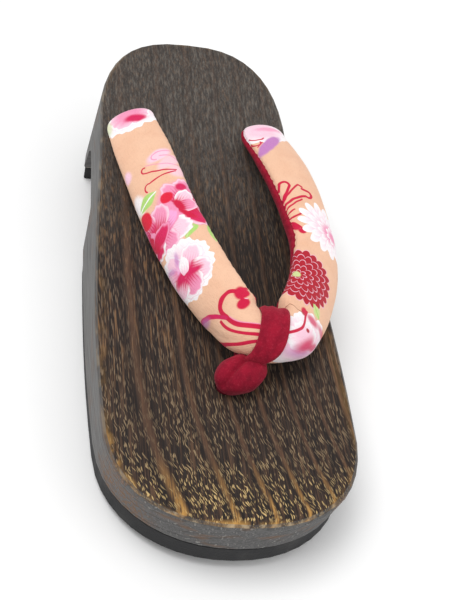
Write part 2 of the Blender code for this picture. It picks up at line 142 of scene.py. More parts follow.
@dataclass(frozen=True)
class BaseForm:
    """Sizes of the wooden base that its looks follow."""

    length: float = 0.235
    toe_height: float = 0.0276
    heel_height: float = 0.0465
    top_dish: float = 0.0080
    toe_spring: float = 0.0047
    toe_spring_run: float = 0.070
    tread: float = 0.0069
    gap: float = 0.0003
    rear_hole: Pair = (0.0272, 0.0598)
    front_hole: Pair = (0.0, -0.060)
    meeting: Pair = (0.0133, -0.0505)

    @property
    def toe(self) -> float:
        """y of the toe's tip."""
        return -self.length / 2

    def top(self, y: float) -> float:
        """Return the height of the top face.

        Args:
            y: The place along the base.

        Returns:
            Its height over the floor.
        """
        share = (y - self.toe) / self.length
        dish = 4 * self.top_dish * share * (1 - share)
        return mix(self.toe_height, self.heel_height, share) - dish

    def sole(self, y: float) -> float:
        """Return the height of the treads' underside, sprung at the toe."""
        share = max(0.0, 1 - (y - self.toe) / self.toe_spring_run)
        return self.toe_spring * share**2

    def foot(self, y: float) -> float:
        """Return the height of the wood's underside."""
        return self.sole(y) + self.tread + self.gap


BASE = BaseForm()


class Side(Enum):
    """The two arms of the strap, as seen from the toe."""

    LEFT = -1
    RIGHT = 1


class Slot(Enum):
    """The record's material slots that the new pieces take their finish from."""

    CREPE = "printed_crepe"
    VELVETEEN = "crimson_velveteen"


@dataclass(frozen=True)
class Station:
    """One section of an arm: lengths as shares of ArmForm's sizes, and a lean in degrees."""

    reach: float
    bow: float
    lean: float
    width: float
    thick: float
    lift: float

    def row(self) -> tuple[float, ...]:
        """Return the values that are blended between stations."""
        return (self.bow, self.lean, self.width, self.thick, self.lift)


@dataclass(frozen=True)
class ArmForm:
    """Sizes of one padded arm, from its seat over the rear hole to its nose."""

    side: Side
    bow: float
    stations: tuple[Station, ...]
    meeting_spread: float = 0.0056
    width: float = 0.0222
    crown: float = 0.0054
    depth: float = 0.0060
    lift: float = 0.0034
    rear_length: float = 0.0080
    cap_power: float = 2.5
    cap_turn: float = 0.497
    end_drop: float = 0.35
    bend_reach: float = 0.885
    bend_swell: float = 1.10
    bend_overlap: float = 0.0004

    def blended(self, reach: float) -> tuple[float, ...]:
        """Return the smooth row of the stations at a reach.

        Args:
            reach: The share of the way from the rear hole to the meeting point.

        Returns:
            bow, lean, width, thick and lift there.
        """
        rows = self.stations
        index = min(len(rows) - 2, sum(1 for row in rows[1:] if row.reach <= reach))
        near, far = rows[index], rows[index + 1]
        before = rows[max(0, index - 1)]
        after = rows[min(len(rows) - 1, index + 2)]
        span = far.reach - near.reach
        share = (reach - near.reach) / span
        values = []
        for start, end, past, coming in zip(near.row(), far.row(), before.row(), after.row()):
            slope_in = (end - past) / (far.reach - before.reach) * span
            slope_out = (coming - start) / (after.reach - near.reach) * span
            values.append(curve(start, slope_in, end, slope_out, share))
        return tuple(values)

    def section(self, reach: float) -> "Section":
        """Return the arm's section at a reach.

        Args:
            reach: The share of the way from the rear hole to the meeting point.

        Returns:
            The section, which doesn't face forward along the arm yet.
        """
        bow, lean, width, thick, lift = self.blended(reach)
        turn = math.radians(lean)
        side = self.side.value
        half = self.width / 2 * width
        depth = self.depth * thick
        rear_x, rear_y = BASE.rear_hole
        meeting_x, meeting_y = BASE.meeting
        x = mix(side * rear_x, meeting_x + side * self.meeting_spread, reach)
        x += side * self.bow * bow
        y = mix(rear_y, meeting_y, reach)
        below = math.hypot(half * math.sin(turn), depth * math.cos(turn))
        z = BASE.top(y) + 2 * BASE.gap + self.lift * lift + below
        return Section(Vector((x, y, z)), half, self.crown * thick, depth, turn)


@dataclass
class Section:
    """An oval section: its centre, half width, rises above and below, and its lean."""

    centre: Vector
    half: float
    crown: float
    depth: float
    lean: float
    scale: float = 1.0
    forward: Vector = field(default_factory=lambda: Vector((0.0, -1.0, 0.0)))
    turned: tuple[Vector, Vector] | None = None

    def axes(self, side: Side) -> tuple[Vector, Vector]:
        """Return the section's own directions.

        Args:
            side: The arm's side.

        Returns:
            The way out to its outer edge, and the way up through its crown.
        """
        if self.turned:
            return self.turned
        across = self.forward.cross(UP).normalized() * -side.value
        upright = self.forward.cross(across).normalized() * side.value
        out = across * math.cos(self.lean) - upright * math.sin(self.lean)
        face = across * math.sin(self.lean) + upright * math.cos(self.lean)
        return out, face

    def point(self, side: Side, angle: float, grow: float) -> Vector:
        """Return a point on the oval.

        Args:
            side: The arm's side.
            angle: 0 at the outer edge, a quarter turn at the crown.
            grow: How far the oval is grown there.

        Returns:
            The point in the row frame.
        """
        out, face = self.axes(side)
        rise = self.crown if math.sin(angle) > 0 else self.depth
        wide = (self.half * self.scale + grow) * math.cos(angle)
        high = (rise * self.scale + grow) * math.sin(angle)
        return self.centre + out * wide + face * high


LEFT_ARM = ArmForm(
    Side.LEFT,
    0.0047,
    (
        Station(0.00, 0.00, 24.0, 0.88, 0.72, 0.06),
        Station(0.20, 0.46, 34.0, 0.97, 0.98, 0.20),
        Station(0.42, 0.86, 42.0, 1.00, 1.00, 0.25),
        Station(0.63, 1.00, 48.0, 1.00, 1.00, 0.40),
        Station(0.83, 0.67, 57.0, 0.98, 1.00, 0.55),
        Station(1.00, 0.00, 68.0, 0.84, 0.95, 1.30),
    ),
)
RIGHT_ARM = ArmForm(
    Side.RIGHT,
    0.0147,
    (
        Station(0.00, 0.00, 5.0, 0.88, 0.72, 0.06),
        Station(0.20, 0.46, 12.0, 0.97, 0.98, 0.90),
        Station(0.42, 0.86, 21.0, 1.00, 1.00, 1.00),
        Station(0.63, 1.00, 33.0, 1.00, 1.00, 0.70),
        Station(0.83, 0.67, 40.0, 1.01, 1.00, 0.60),
        Station(1.00, 0.00, 44.0, 1.02, 0.95, 1.10),
    ),
)


@dataclass(frozen=True)
class LoopForm:
    """Sizes of the toe loop's band, a ring round the meeting point, and of its pinch."""

    rise: float = 0.0147
    yaw: float = 10.0
    width: float = 0.0098
    thickness: float = 0.0028
    inner_length: float = 0.0152
    inner_height: float = 0.0156
    neck_width: float = 0.0050
    neck_aside: float = 0.0080
    corner_power: float = 3.0
    pinch_least: float = 0.01
    pinch_most: float = 2.4
    pinch_beside: Pair = (-0.0006, 0.0030)
    pinch_limit: float = 0.97
    pinch_ease: float = 1.6
    pinch_fade: Pair = (1.5, 2.0)
    pinch_give: float = 0.12

    @property
    def centre(self) -> Vector:
        """The middle of the ring."""
        x, y = BASE.meeting
        return Vector((x, y, BASE.top(y) + self.rise))

    @property
    def forward(self) -> Vector:
        """The level direction in which the ring faces the toe."""
        yaw = math.radians(self.yaw)
        return Vector((-math.sin(yaw), -math.cos(yaw), 0.0))

    @property
    def aside(self) -> Vector:
        """The level direction along the band's width."""
        return self.forward.cross(UP)

    def at(self, turn: float) -> Pair:
        """Return the band's half width and how far it leans to the post, at a turn."""
        low = ((1 - math.sin(turn)) / 2) ** 2
        return mix(self.width, self.neck_width, low) / 2, self.neck_aside * low

    def pinch(self, point: Vector) -> Vector:
        """Draw a point of the strap in under the band.

        Args:
            point: A point of an arm's surface.

        Returns:
            The point, no further out than the band lets it be.
        """
        offset = point - self.centre
        ahead = offset.dot(self.forward) / (self.inner_length / 2)
        above = offset.z / (self.inner_height / 2)
        reach = math.hypot(ahead, above)
        if not self.pinch_least <= reach <= self.pinch_most:
            return point
        turn = math.atan2(above, ahead)
        half, lean = self.at(turn)
        beside = abs(offset.dot(self.aside) - lean) - half
        limit = self.pinch_limit + self.pinch_ease * smooth(*self.pinch_beside, beside)
        keep = smooth(*self.pinch_fade, reach)
        drawn = limit + self.pinch_give * (reach - limit) if reach > limit else reach
        share = mix(drawn, reach, keep) / reach
        moved = offset * share
        moved -= self.aside * (moved.dot(self.aside) - offset.dot(self.aside))
        return self.centre + moved


LOOP = LoopForm()


class ArmSurface:
    """The surface of one arm, with its own lengths along and across."""

    def __init__(self, form: ArmForm, steps: int = 280, bend_steps: int = 60,
                 cap_steps: int = 14) -> None:
        """Lay the arm's sections out.

        Args:
            form: The arm's sizes.
            steps: Sections along its run.
            bend_steps: Sections in the bend through the band.
            cap_steps: Sections in the rounded rear end.
        """
        self.form = form
        run = [form.section(form.bend_reach * step / steps) for step in range(steps + 1)]
        for index, section in enumerate(run):
            before = run[max(0, index - 1)].centre
            after = run[min(steps, index + 1)].centre
            section.forward = (after - before).normalized()
        self.sections = self._rear(run, cap_steps) + run + self._bend(run[-1], bend_steps)
        self.along = [0.0]
        for near, far in zip(self.sections, self.sections[1:]):
            self.along.append(self.along[-1] + (far.centre - near.centre).length)
        start = self.along[cap_steps]
        self.along = [value - start for value in self.along]

    def _cap(self, steps: int) -> list[Pair]:
        """Return the profile of the rounded rear end.

        Args:
            steps: How many sections it has.

        Returns:
            How far each section stands out from the run, and its scale.
        """
        power = 2 / self.form.cap_power
        turns = [count / steps / 2 for count in range(1, steps)] + [self.form.cap_turn]
        return [(self.form.rear_length * math.sin(turn * math.pi) ** power,
                 math.cos(turn * math.pi) ** power) for turn in turns]

    def _rear(self, run: list[Section], steps: int) -> list[Section]:
        """Return the sections of the seated rear end.

        Args:
            run: The sections of the arm's run.
            steps: How many the end has.

        Returns:
            The sections, from the end's tip.
        """
        rear = run[0]
        backward = (rear.centre - run[1].centre).normalized()
        floor = BASE.top(rear.centre.y) + 2 * BASE.gap
        ends = []
        for reach, scale in self._cap(steps):
            centre = rear.centre + backward * reach
            seat = BASE.top(centre.y) + 2 * BASE.gap
            drop = mix(self.form.end_drop, 1.0, scale)
            centre.z = seat + (rear.centre.z - floor) * drop
            ends.append(Section(centre, rear.half, rear.crown, rear.depth, rear.lean, scale,
                                -backward))
        return ends[::-1]

    def _bend(self, last: Section, steps: int) -> list[Section]:
        """Return the sections of the bend that leads the arm through the band.

        Args:
            last: The run's last section.
            steps: How many there are.

        Returns:
            The sections, to the middle of the band.
        """
        side = self.form.side
        inward = LOOP.aside * side.value
        swell = self.form.bend_swell / 2
        end = LOOP.centre - inward * self.form.bend_overlap
        reach = (end - last.centre).length
        out, face = last.axes(side)
        sections = []
        for step in range(1, steps + 1):
            share = step / steps
            turn = smooth(0.0, 1.0, share)
            across = out.lerp(LOOP.forward, turn).normalized()
            upright = face.lerp(UP, turn)
            upright = (upright - across * upright.dot(across)).normalized()
            sections.append(Section(
                curve(last.centre, last.forward * reach, end, inward * reach, share),
                mix(last.half, LOOP.inner_length * swell, turn),
                mix(last.crown, LOOP.inner_height * swell, turn),
                mix(last.depth, LOOP.inner_height * swell, turn),
                lean=0.0,
                forward=last.forward.lerp(inward, turn).normalized(),
                turned=(across, upright),
            ))
        return sections

    def place(self, index: int, angle: float, grow: float) -> Vector:
        """Return a point of the surface at a section and an angle round it."""
        return self.sections[index].point(self.form.side, angle, grow)


def operation(kind: str, result: str) -> Callable[..., "Number"]:
    """Return a method of Number that adds a Math node, which takes the number first.

    Args:
        kind: The node's operation.
        result: What the method returns, for its docstring.

    Returns:
        The method.
    """
    def method(self: "Number", *others: "Level") -> "Number":
        """Add the node."""
        return self.tree.math(kind, self, *others)

    method.__doc__ = f"Return {result}."
    return method


class Number:
    """A number that varies over a surface, with plain arithmetic."""

    def __init__(self, tree: "Tree", socket: Socket) -> None:
        """Wrap a socket of a tree."""
        self.tree = tree
        self.socket = socket

    __add__ = __radd__ = operation("ADD", "the sum")
    __sub__ = operation("SUBTRACT", "the difference")
    __mul__ = __rmul__ = operation("MULTIPLY", "the product")
    __truediv__ = operation("DIVIDE", "the quotient")
    __pow__ = operation("POWER", "this to a power")
    sine = operation("SINE", "the sine")
    cosine = operation("COSINE", "the cosine")
    size = operation("ABSOLUTE", "the size without its sign")
    root = operation("SQRT", "the square root")
    fraction = operation("FRACT", "what is over the whole part")
    least = operation("MINIMUM", "the lesser of two")
    most = operation("MAXIMUM", "the greater of two")
    angle = operation("ARCTAN2", "the angle whose sine follows this and whose cosine the other")

    def __rsub__(self, other: float) -> "Number":
        """Return the other less this."""
        return self.tree.math("SUBTRACT", other, self)

    def between(self, low: "Level", high: "Level") -> "Number":
        """Return a smooth rise over a span.

        Args:
            low: Where it is 0.
            high: Where it is 1, which can be the lower of the two.

        Returns:
            The rise.
        """
        made = self.tree.node("ShaderNodeMapRange", {"interpolation_type": "SMOOTHSTEP"},
                              {"Value": self, "From Min": low, "From Max": high})
        return Number(self.tree, made.outputs["Result"])


Tint = Triple
Level = Number | float
Colour = Tint | Socket


def dye(red: int, green: int, blue: int) -> Tint:
    """Return a tint from the 0 to 255 values of a colour card."""
    shares = Color([value / 255 for value in (red, green, blue)])
    return tuple(shares.from_srgb_to_scene_linear())


class Trace(Enum):
    """Patterns over a surface, which its coats of tint and its relief follow."""

    HEIGHT = auto()
    NAP = auto()
    PILE = auto()
    PATCHES = auto()
    PORES = auto()
    GROOVES = auto()
    RIBS = auto()
    SAWN = auto()
    FAR = auto()
    TIP = auto()
    TOEWARD = auto()
    WAIST = auto()
    HOLLOW = auto()
    SWAY = auto()
    WAVE = auto()
    LINE = auto()
    TIP_LINE = auto()
    DARK = auto()
    THIN = auto()
    HAIR = auto()
    STREAK = auto()
    FLECK = auto()
    RUB = auto()
    BARE = auto()
    RIM = auto()
    RIM_GOLD = auto()
    TOPSIDE = auto()
    WALL = auto()
    PITS = auto()
    PITTED = auto()
    STAIN = auto()
    END_GRAIN = auto()
    ARCS = auto()
    BLOTCH = auto()
    OVER_SOLE = auto()
    SCUFFED = auto()


Traces = dict[Trace, Number]


@dataclass(frozen=True)
class Coat:
    """A tint laid by a share where a trace is high, or where it has crossed a span."""

    tint: Tint
    trace: Trace
    share: float
    span: Pair | None = None
    by: Trace | None = None
    more: float = 0.0

    def mask(self, traces: Traces) -> Number:
        """Return how far the coat covers.

        Args:
            traces: What it can follow.

        Returns:
            The cover, from 0 to 1.
        """
        mask = traces[self.trace]
        if self.span:
            mask = mask.between(*self.span)
        return mask * (self.share + traces[self.by] * self.more if self.by else self.share)


def heights(traces: Traces, shares: tuple[tuple[Trace, float], ...]) -> Number:
    """Return the height of a surface as the sum of traces by their shares."""
    return sum(traces[trace] * share for trace, share in shares)


MIX_SHARE, MIX_BASE, MIX_TOP, MIX_RESULT = 0, 6, 7, 2


class Tree:
    """A node tree and what is added to it."""

    def __init__(self, tree: NodeTree) -> None:
        """Start with a tree."""
        self.tree = tree

    def feed(self, socket: Socket, value: object) -> None:
        """Link or set one socket.

        Args:
            socket: The socket.
            value: What it takes: a number that varies, a socket, or a plain value.
        """
        if isinstance(value, Number):
            value = value.socket
        if isinstance(value, Socket):
            self.tree.links.new(socket, value)
        elif socket.type == "RGBA":
            socket.default_value = (*value[:3], 1.0)
        else:
            socket.default_value = value

    def node(self, kind: str, settings: dict, values: dict) -> bpy.types.Node:
        """Add a node.

        Args:
            kind: The node's type.
            settings: Its properties, which are set first.
            values: Its sockets' values or links, by name or index.

        Returns:
            The node.
        """
        made = self.tree.nodes.new(kind)
        for name, value in settings.items():
            setattr(made, name, value)
        for name, value in values.items():
            self.feed(made.inputs[name], value)
        return made

    def math(self, operation: str, *values: Level) -> Number:
        """Return the result of a Math node."""
        made = self.node("ShaderNodeMath", {"operation": operation}, dict(enumerate(values)))
        return Number(self, made.outputs[0])

    def blend(self, base: Colour, top: Colour, share: Level, way: str = "MIX") -> Colour:
        """Lay a colour over another.

        Args:
            base: The colour underneath.
            top: The colour that is laid over it.
            share: How far it covers, from 0 to 1.
            way: The way in which the two are mixed.

        Returns:
            The mixed colour.
        """
        made = self.node("ShaderNodeMix", {"data_type": "RGBA", "blend_type": way},
                         {MIX_SHARE: share, MIX_BASE: base, MIX_TOP: top})
        return made.outputs[MIX_RESULT]

    def coated(self, colour: Colour, coats: tuple[Coat, ...], traces: Traces) -> Colour:
        """Lay coats of tint in order.

        Args:
            colour: The colour underneath.
            coats: The coats.
            traces: What they follow.

        Returns:
            The colour with all of them on.
        """
        for coat in coats:
            colour = self.blend(colour, coat.tint, coat.mask(traces))
        return colour


class Block(Tree):
    """A node group that is made once and placed many times, with named inputs."""

    def __init__(self, name: str, given: dict[str, object]) -> None:
        """Make the group's inputs.

        Args:
            name: The group's name.
            given: An example of what it is given, by name: numbers, or tints.
        """
        super().__init__(bpy.data.node_groups.new(name, "ShaderNodeTree"))
        tints = {key for key, value in given.items() if self._is_tint(value)}
        for key in given:
            kind = "NodeSocketColor" if key in tints else "NodeSocketFloat"
            self.tree.interface.new_socket(name=key, in_out="INPUT", socket_type=kind)
        taken = self.node("NodeGroupInput", {}, {}).outputs
        self.own = SimpleNamespace(**{
            key: taken[key] if key in tints else Number(self, taken[key]) for key in given
        })

    @staticmethod
    def _is_tint(value: object) -> bool:
        """Return whether an input is a colour."""
        linked = isinstance(value, Socket)
        return value.type == "RGBA" if linked else isinstance(value, tuple)

    def give(self, result: Number | Socket, kind: str) -> NodeTree:
        """Close the group with its one output.

        Args:
            result: What the group gives.
            kind: The output's type.

        Returns:
            The finished group.
        """
        self.tree.interface.new_socket(name="result", in_out="OUTPUT", socket_type=kind)
        self.node("NodeGroupOutput", {}, {"result": result})
        return self.tree


class Paint(Tree):
    """A material and the nodes that make it."""

    def __init__(self, name: str, **fixed: object) -> None:
        """Make a material with one shader.

        Args:
            name: The material's name.
            fixed: Values of the shader's sockets, with underscores for spaces.
        """
        self.material = bpy.data.materials.new(name)
        self.material.use_nodes = True
        super().__init__(self.material.node_tree)
        self.tree.nodes.clear()
        values = {key.replace("_", " "): value for key, value in fixed.items()}
        self.shader = self.node("ShaderNodeBsdfPrincipled", {}, values)
        self.node("ShaderNodeOutputMaterial", {}, {"Surface": self.shader.outputs[0]})
        self.place = self.node("ShaderNodeTexCoord", {}, {}).outputs["Object"]

    def lengths(self) -> tuple[Number, Number]:
        """Return a soft piece's own lengths along and across, in millimetres."""
        flat = self.node("ShaderNodeUVMap", {"uv_map": "lengths"}, {}).outputs[0]
        return tuple(part * MM for part in self.split(flat)[:2])

    def upward(self) -> Number:
        """Return how far the surface faces up, 1 straight up."""
        return self.split(self.node("ShaderNodeTexCoord", {}, {}).outputs["Normal"])[2]

    def spot(self) -> tuple[Number, Number, Number]:
        """Return the place on the piece, in metres."""
        return self.split(self.place)

    def split(self, vector: Socket) -> tuple[Number, Number, Number]:
        """Return the three numbers of a vector."""
        parts = self.node("ShaderNodeSeparateXYZ", {}, {0: vector}).outputs
        return tuple(Number(self, part) for part in parts)

    def join(self, x: Level, y: Level, z: Level) -> Socket:
        """Return the vector of three numbers."""
        return self.node("ShaderNodeCombineXYZ", {}, {0: x, 1: y, 2: z}).outputs[0]

    def cloud(self, where: Socket, scale: float, detail: float = 2.0) -> Number:
        """Return soft noise.

        Args:
            where: The place that it is read at.
            scale: How fine it is.
            detail: How many finer layers it has.

        Returns:
            The noise, from 0 to 1.
        """
        made = self.node("ShaderNodeTexNoise", {},
                         {"Vector": where, "Scale": scale, "Detail": detail})
        return Number(self, made.outputs["Fac"])

    def cells(self, where: Socket, scale: float) -> Number:
        """Return the distance to the nearest of many scattered points."""
        made = self.node("ShaderNodeTexVoronoi", {}, {"Vector": where, "Scale": scale})
        return Number(self, made.outputs["Distance"])

    def finish(self, colour: Colour, roughness: Level, height: Level, relief: float,
               strength: float = 1.0) -> Material:
        """Feed the shader.

        Args:
            colour: The base colour.
            roughness: The roughness.
            height: The height that the bump follows, from 0 to 1.
            relief: The bump's depth in metres.
            strength: How strongly the bump shows.

        Returns:
            The finished material.
        """
        bump = self.node("ShaderNodeBump", {}, {"Strength": strength, "Distance": relief,
                                                "Height": height})
        self.feed(self.shader.inputs["Base Color"], colour)
        self.feed(self.shader.inputs["Roughness"], roughness)
        self.feed(self.shader.inputs["Normal"], bump.outputs["Normal"])
        return self.material


class Skin:
    """A closed skin laid ring by ring, each point with its own lengths along and across."""

    def __init__(self, name: str, looped: bool = False) -> None:
        """Start a skin.

        Args:
            name: The piece's name.
            looped: Whether the last ring joins the first, instead of a pole at each end.
        """
        self.name = name
        self.looped = looped
        self.rings: list[list[Vector]] = []
        self.lengths: list[list[Pair]] = []
        self.spots: list[Vector] = []
        self.faces: list[tuple[int, ...]] = []
        self.places: list[Pair] = []
        self.shares: list[float] = []

    def add(self, points: list[Vector], along: float, across: list[float] | None = None) -> None:
        """Add a ring.

        Args:
            points: The ring's points, in order.
            along: The ring's own length along the piece.
            across: The points' lengths across and, last, the first point's once round.
        """
        self.rings.append(points)
        self.lengths.append([(along, value) for value in across or lengths_round(points)])

    def _face(self, corners: tuple[int, ...], places: list[Pair], share: float) -> None:
        """Add a face.

        Args:
            corners: Its points, by index.
            places: Their own lengths along and across.
            share: How far round the ring it is.
        """
        self.faces.append(corners)
        self.places += places
        self.shares.append(share)

    def _bands(self) -> None:
        """Add the faces between each ring and the next."""
        count, total = len(self.rings[0]), len(self.rings)
        for row in range(total if self.looped else total - 1):
            after = (row + 1) % total
            near, far = self.lengths[row], self.lengths[after]
            if after == 0:
                step = near[0][0] - self.lengths[row - 1][0][0]
                far = [(near[0][0] + step, across) for _, across in far]
            for column in range(count):
                following = (column + 1) % count
                corners = (row * count + column, row * count + following,
                           after * count + following, after * count + column)
                places = [near[column], near[column + 1], far[column + 1], far[column]]
                self._face(corners, places, (column + 0.5) / count)

    def _poles(self) -> None:
        """Close both ends with a fan of faces round a pole."""
        count = len(self.rings[0])
        for row, way in ((0, -1), (len(self.rings) - 1, 1)):
            self.spots.append(sum(self.rings[row], Vector()) / count)
            pole = len(self.spots) - 1
            for column in range(count):
                corners = (row * count + column, row * count + (column + 1) % count)[::way]
                ends = self.lengths[row][column:column + 2][::way]
                middle = tuple((one + two) / 2 for one, two in zip(*ends))
                self._face((*corners, pole), [*ends, middle], (column + 0.5) / count)

    def build(self, materials: list[Material],
              slot: Callable[[float], int] = lambda share: 0) -> Piece:
        """Make the mesh.

        Args:
            materials: The piece's materials.
            slot: Which of them is at a share of the way round.

        Returns:
            The finished piece.
        """
        self.spots = [point for ring in self.rings for point in ring]
        self._bands()
        if not self.looped:
            self._poles()
        mesh = bpy.data.meshes.new(self.name)
        mesh.from_pydata(self.spots, [], self.faces)
        flat = mesh.uv_layers.new(name="lengths")
        flat.data.foreach_set("uv", [value for place in self.places for value in place])
        for material in materials:
            mesh.materials.append(material)
        mesh.polygons.foreach_set("material_index", [slot(share) for share in self.shares])
        smooth_mesh(mesh)
        work = bmesh.new()
        work.from_mesh(mesh)
        if work.calc_volume(signed=True) < 0:
            bmesh.ops.reverse_faces(work, faces=work.faces)
        work.to_mesh(mesh)
        work.free()
        return shown(self.name, mesh)


@dataclass(frozen=True)
class Fold:
    """A hand-placed soft trough or ridge on an arm, in millimetres and degrees."""

    along: float
    across: float
    length: float
    width: float
    rise: float
    turn: float = 0.0
    fade_start: float = 0.35
    spread: float = 3.0

    def height(self, along: float, across: float) -> float:
        """Return the fold's height at a place.

        Args:
            along: The place's length along the arm, in millimetres.
            across: Its length across.

        Returns:
            The height in millimetres.
        """
        turn = math.radians(self.turn)
        ahead, aside = along - self.along, across - self.across
        run = ahead * math.cos(turn) + aside * math.sin(turn)
        off = aside * math.cos(turn) - ahead * math.sin(turn)
        if abs(run) > self.length or abs(off) > self.spread * self.width:
            return 0.0
        fade = 1 - smooth(self.fade_start, 1.0, abs(run) / self.length)
        return self.rise * fade * bell(off, self.width)


@dataclass
class Arm:
    """One padded arm: printed crepe over the top, velveteen underneath, sewn at both edges."""

    side: Side
    form: ArmForm
    folds: tuple[Fold, ...]
    inner_seam: Pair
    seam_turn: Pair = (0.060, 0.084)
    seam_span: Pair = (0.004, 0.104)
    outer_seam: float = -56.0
    first_turn: float = -90.0
    around: int = 96
    inner_column: int = 72
    outer_column: int = 9
    seam_depth: float = 0.50
    seam_width: float = 0.75
    pucker_pitch: float = 3.7
    pucker_rise: float = 0.10
    pucker_fade: float = 3.4
    pucker_sway: float = 5.0
    sway_scale: float = 110.0
    lump_rise: float = 0.32
    lump_size: float = 13.0
    clear: float = 0.0002
    fill: float = 0.8
    seam_points: list[Vector] = field(default_factory=list)

    @property
    def name(self) -> str:
        """The piece's name."""
        return f"{self.side.name.lower()}_arm"

    def angles(self, along: float) -> list[float]:
        """Return the angle of each column of a ring, with a column on each seam.

        Args:
            along: The ring's length along the arm, in metres.

        Returns:
            The angles, in radians.
        """
        seam = mix(*self.inner_seam, smooth(*self.seam_turn, along))
        columns = (0, self.outer_column, self.inner_column, self.around)
        turns = (self.first_turn, self.outer_seam, seam, self.first_turn + 360.0)
        spread = np.interp(range(self.around), columns, turns)
        return [math.radians(turn) for turn in spread]

    def relief(self, along: float, across: float, seams: Pair,
               spot: Vector) -> float:
        """Return how far the cloth stands out from the plain oval.

        Args:
            along: The length along the arm, in millimetres.
            across: The length across.
            seams: The distances to the inner and the outer seam.
            spot: The place, which the soft lumps follow.

        Returns:
            The height in metres.
        """
        height = sum(fold.height(along, across) for fold in self.folds)
        sway = self.pucker_sway * noise.noise(spot * self.sway_scale)
        ripple = self.pucker_rise * math.sin(math.tau * along / self.pucker_pitch + sway)
        for seam in seams:
            height += ripple * math.exp(-seam / self.pucker_fade)
            height -= self.seam_depth * bell(seam, self.seam_width)
        height += self.lump_rise * noise.noise(spot * (MM / self.lump_size))
        return height / MM

    def build(self, cover: Material, lining: Material) -> Piece:
        """Make the arm.

        Args:
            cover: The printed crepe.
            lining: The velveteen.

        Returns:
            The arm.
        """
        surface = ArmSurface(self.form)
        skin = Skin(self.name)
        for index, length in enumerate(surface.along):
            angles = self.angles(length)
            plain = [surface.place(index, angle, 0.0) for angle in angles]
            run = lengths_round(plain)
            seam_runs = run[self.inner_column], run[self.outer_column]
            crown = float(np.interp(math.pi / 2, angles, run[:-1]))
            section = surface.sections[index]
            ring = []
            for column, angle in enumerate(angles):
                across = (crown - run[column]) * MM
                seams = tuple(abs(run[column] - seam) * MM for seam in seam_runs)
                grow = section.scale * self.relief(length * MM, across, seams, plain[column])
                point = LOOP.pinch(surface.place(index, angle, grow))
                point.z = max(point.z, BASE.top(point.y) + self.clear)
                ring.append(point)
            skin.add(ring, length, [crown - value for value in run])
            if self.seam_span[0] < length < self.seam_span[1]:
                self.seam_points.append(ring[self.inner_column])
        low, high = self.outer_column / self.around, self.inner_column / self.around
        piece = skin.build([cover, lining], lambda share: 0 if low < share < high else 1)
        return piece


@dataclass(frozen=True)
class Stitches:
    """A row of short stitches along a seam, laid by geometry nodes."""

    pitch: float = 0.0030
    length: float = 0.0009
    thickness: float = 0.00020
    sides: int = 8

    def tree(self) -> NodeTree:
        """Return the node group that lays a stitch at each step of a line."""
        group = bpy.data.node_groups.new("stitches", "GeometryNodeTree")
        for name, kind, way in (
            ("Line", "NodeSocketGeometry", "INPUT"), ("Pitch", "NodeSocketFloat", "INPUT"),
            ("Size", "NodeSocketVector", "INPUT"), ("Thread", "NodeSocketMaterial", "INPUT"),
            ("Row", "NodeSocketGeometry", "OUTPUT"),
        ):
            group.interface.new_socket(name=name, in_out=way, socket_type=kind)
        tree = Tree(group)
        given = tree.node("NodeGroupInput", {}, {}).outputs
        curve = tree.node("GeometryNodeMeshToCurve", {}, {"Mesh": given["Line"]})
        even = tree.node("GeometryNodeResampleCurve", {"mode": "LENGTH"},
                         {"Curve": curve.outputs[0], "Length": given["Pitch"]})
        tangent = tree.node("GeometryNodeInputTangent", {}, {})
        turn = tree.node("FunctionNodeAlignRotationToVector", {"axis": "X"},
                         {"Vector": tangent.outputs[0]})
        bead = tree.node("GeometryNodeMeshUVSphere", {},
                         {"Segments": self.sides, "Rings": self.sides, "Radius": 1.0})
        laid = tree.node("GeometryNodeInstanceOnPoints", {}, {
            "Points": even.outputs[0], "Instance": bead.outputs[0],
            "Rotation": turn.outputs[0], "Scale": given["Size"]})
        real = tree.node("GeometryNodeRealizeInstances", {}, {"Geometry": laid.outputs[0]})
        dressed = tree.node("GeometryNodeSetMaterial", {},
                            {"Geometry": real.outputs[0], "Material": given["Thread"]})
        tree.node("NodeGroupOutput", {}, {"Row": dressed.outputs[0]})
        return group

    def build(self, name: str, seam: list[Vector], thread: Material) -> Piece:
        """Lay the row.

        Args:
            name: The piece's name.
            seam: The points that it follows.
            thread: The thread's finish.

        Returns:
            The row as a plain mesh.
        """
        line = bpy.data.meshes.new(f"{name}_line")
        line.from_pydata(seam, [(one, one + 1) for one in range(len(seam) - 1)], [])
        source = shown(f"{name}_line", line)
        group = self.tree()
        modifier = source.modifiers.new("stitches", "NODES")
        modifier.node_group = group
        size = (self.length, self.thickness, self.thickness)
        given = {"Pitch": self.pitch, "Size": size, "Thread": thread}
        for item in group.interface.items_tree:
            if item.name in given:
                modifier[item.identifier] = given[item.name]
        view = bpy.context.evaluated_depsgraph_get()
        mesh = bpy.data.meshes.new_from_object(source.evaluated_get(view))
        bpy.data.objects.remove(source)
        mesh.name = name
        smooth_mesh(mesh)
        return shown(name, mesh)


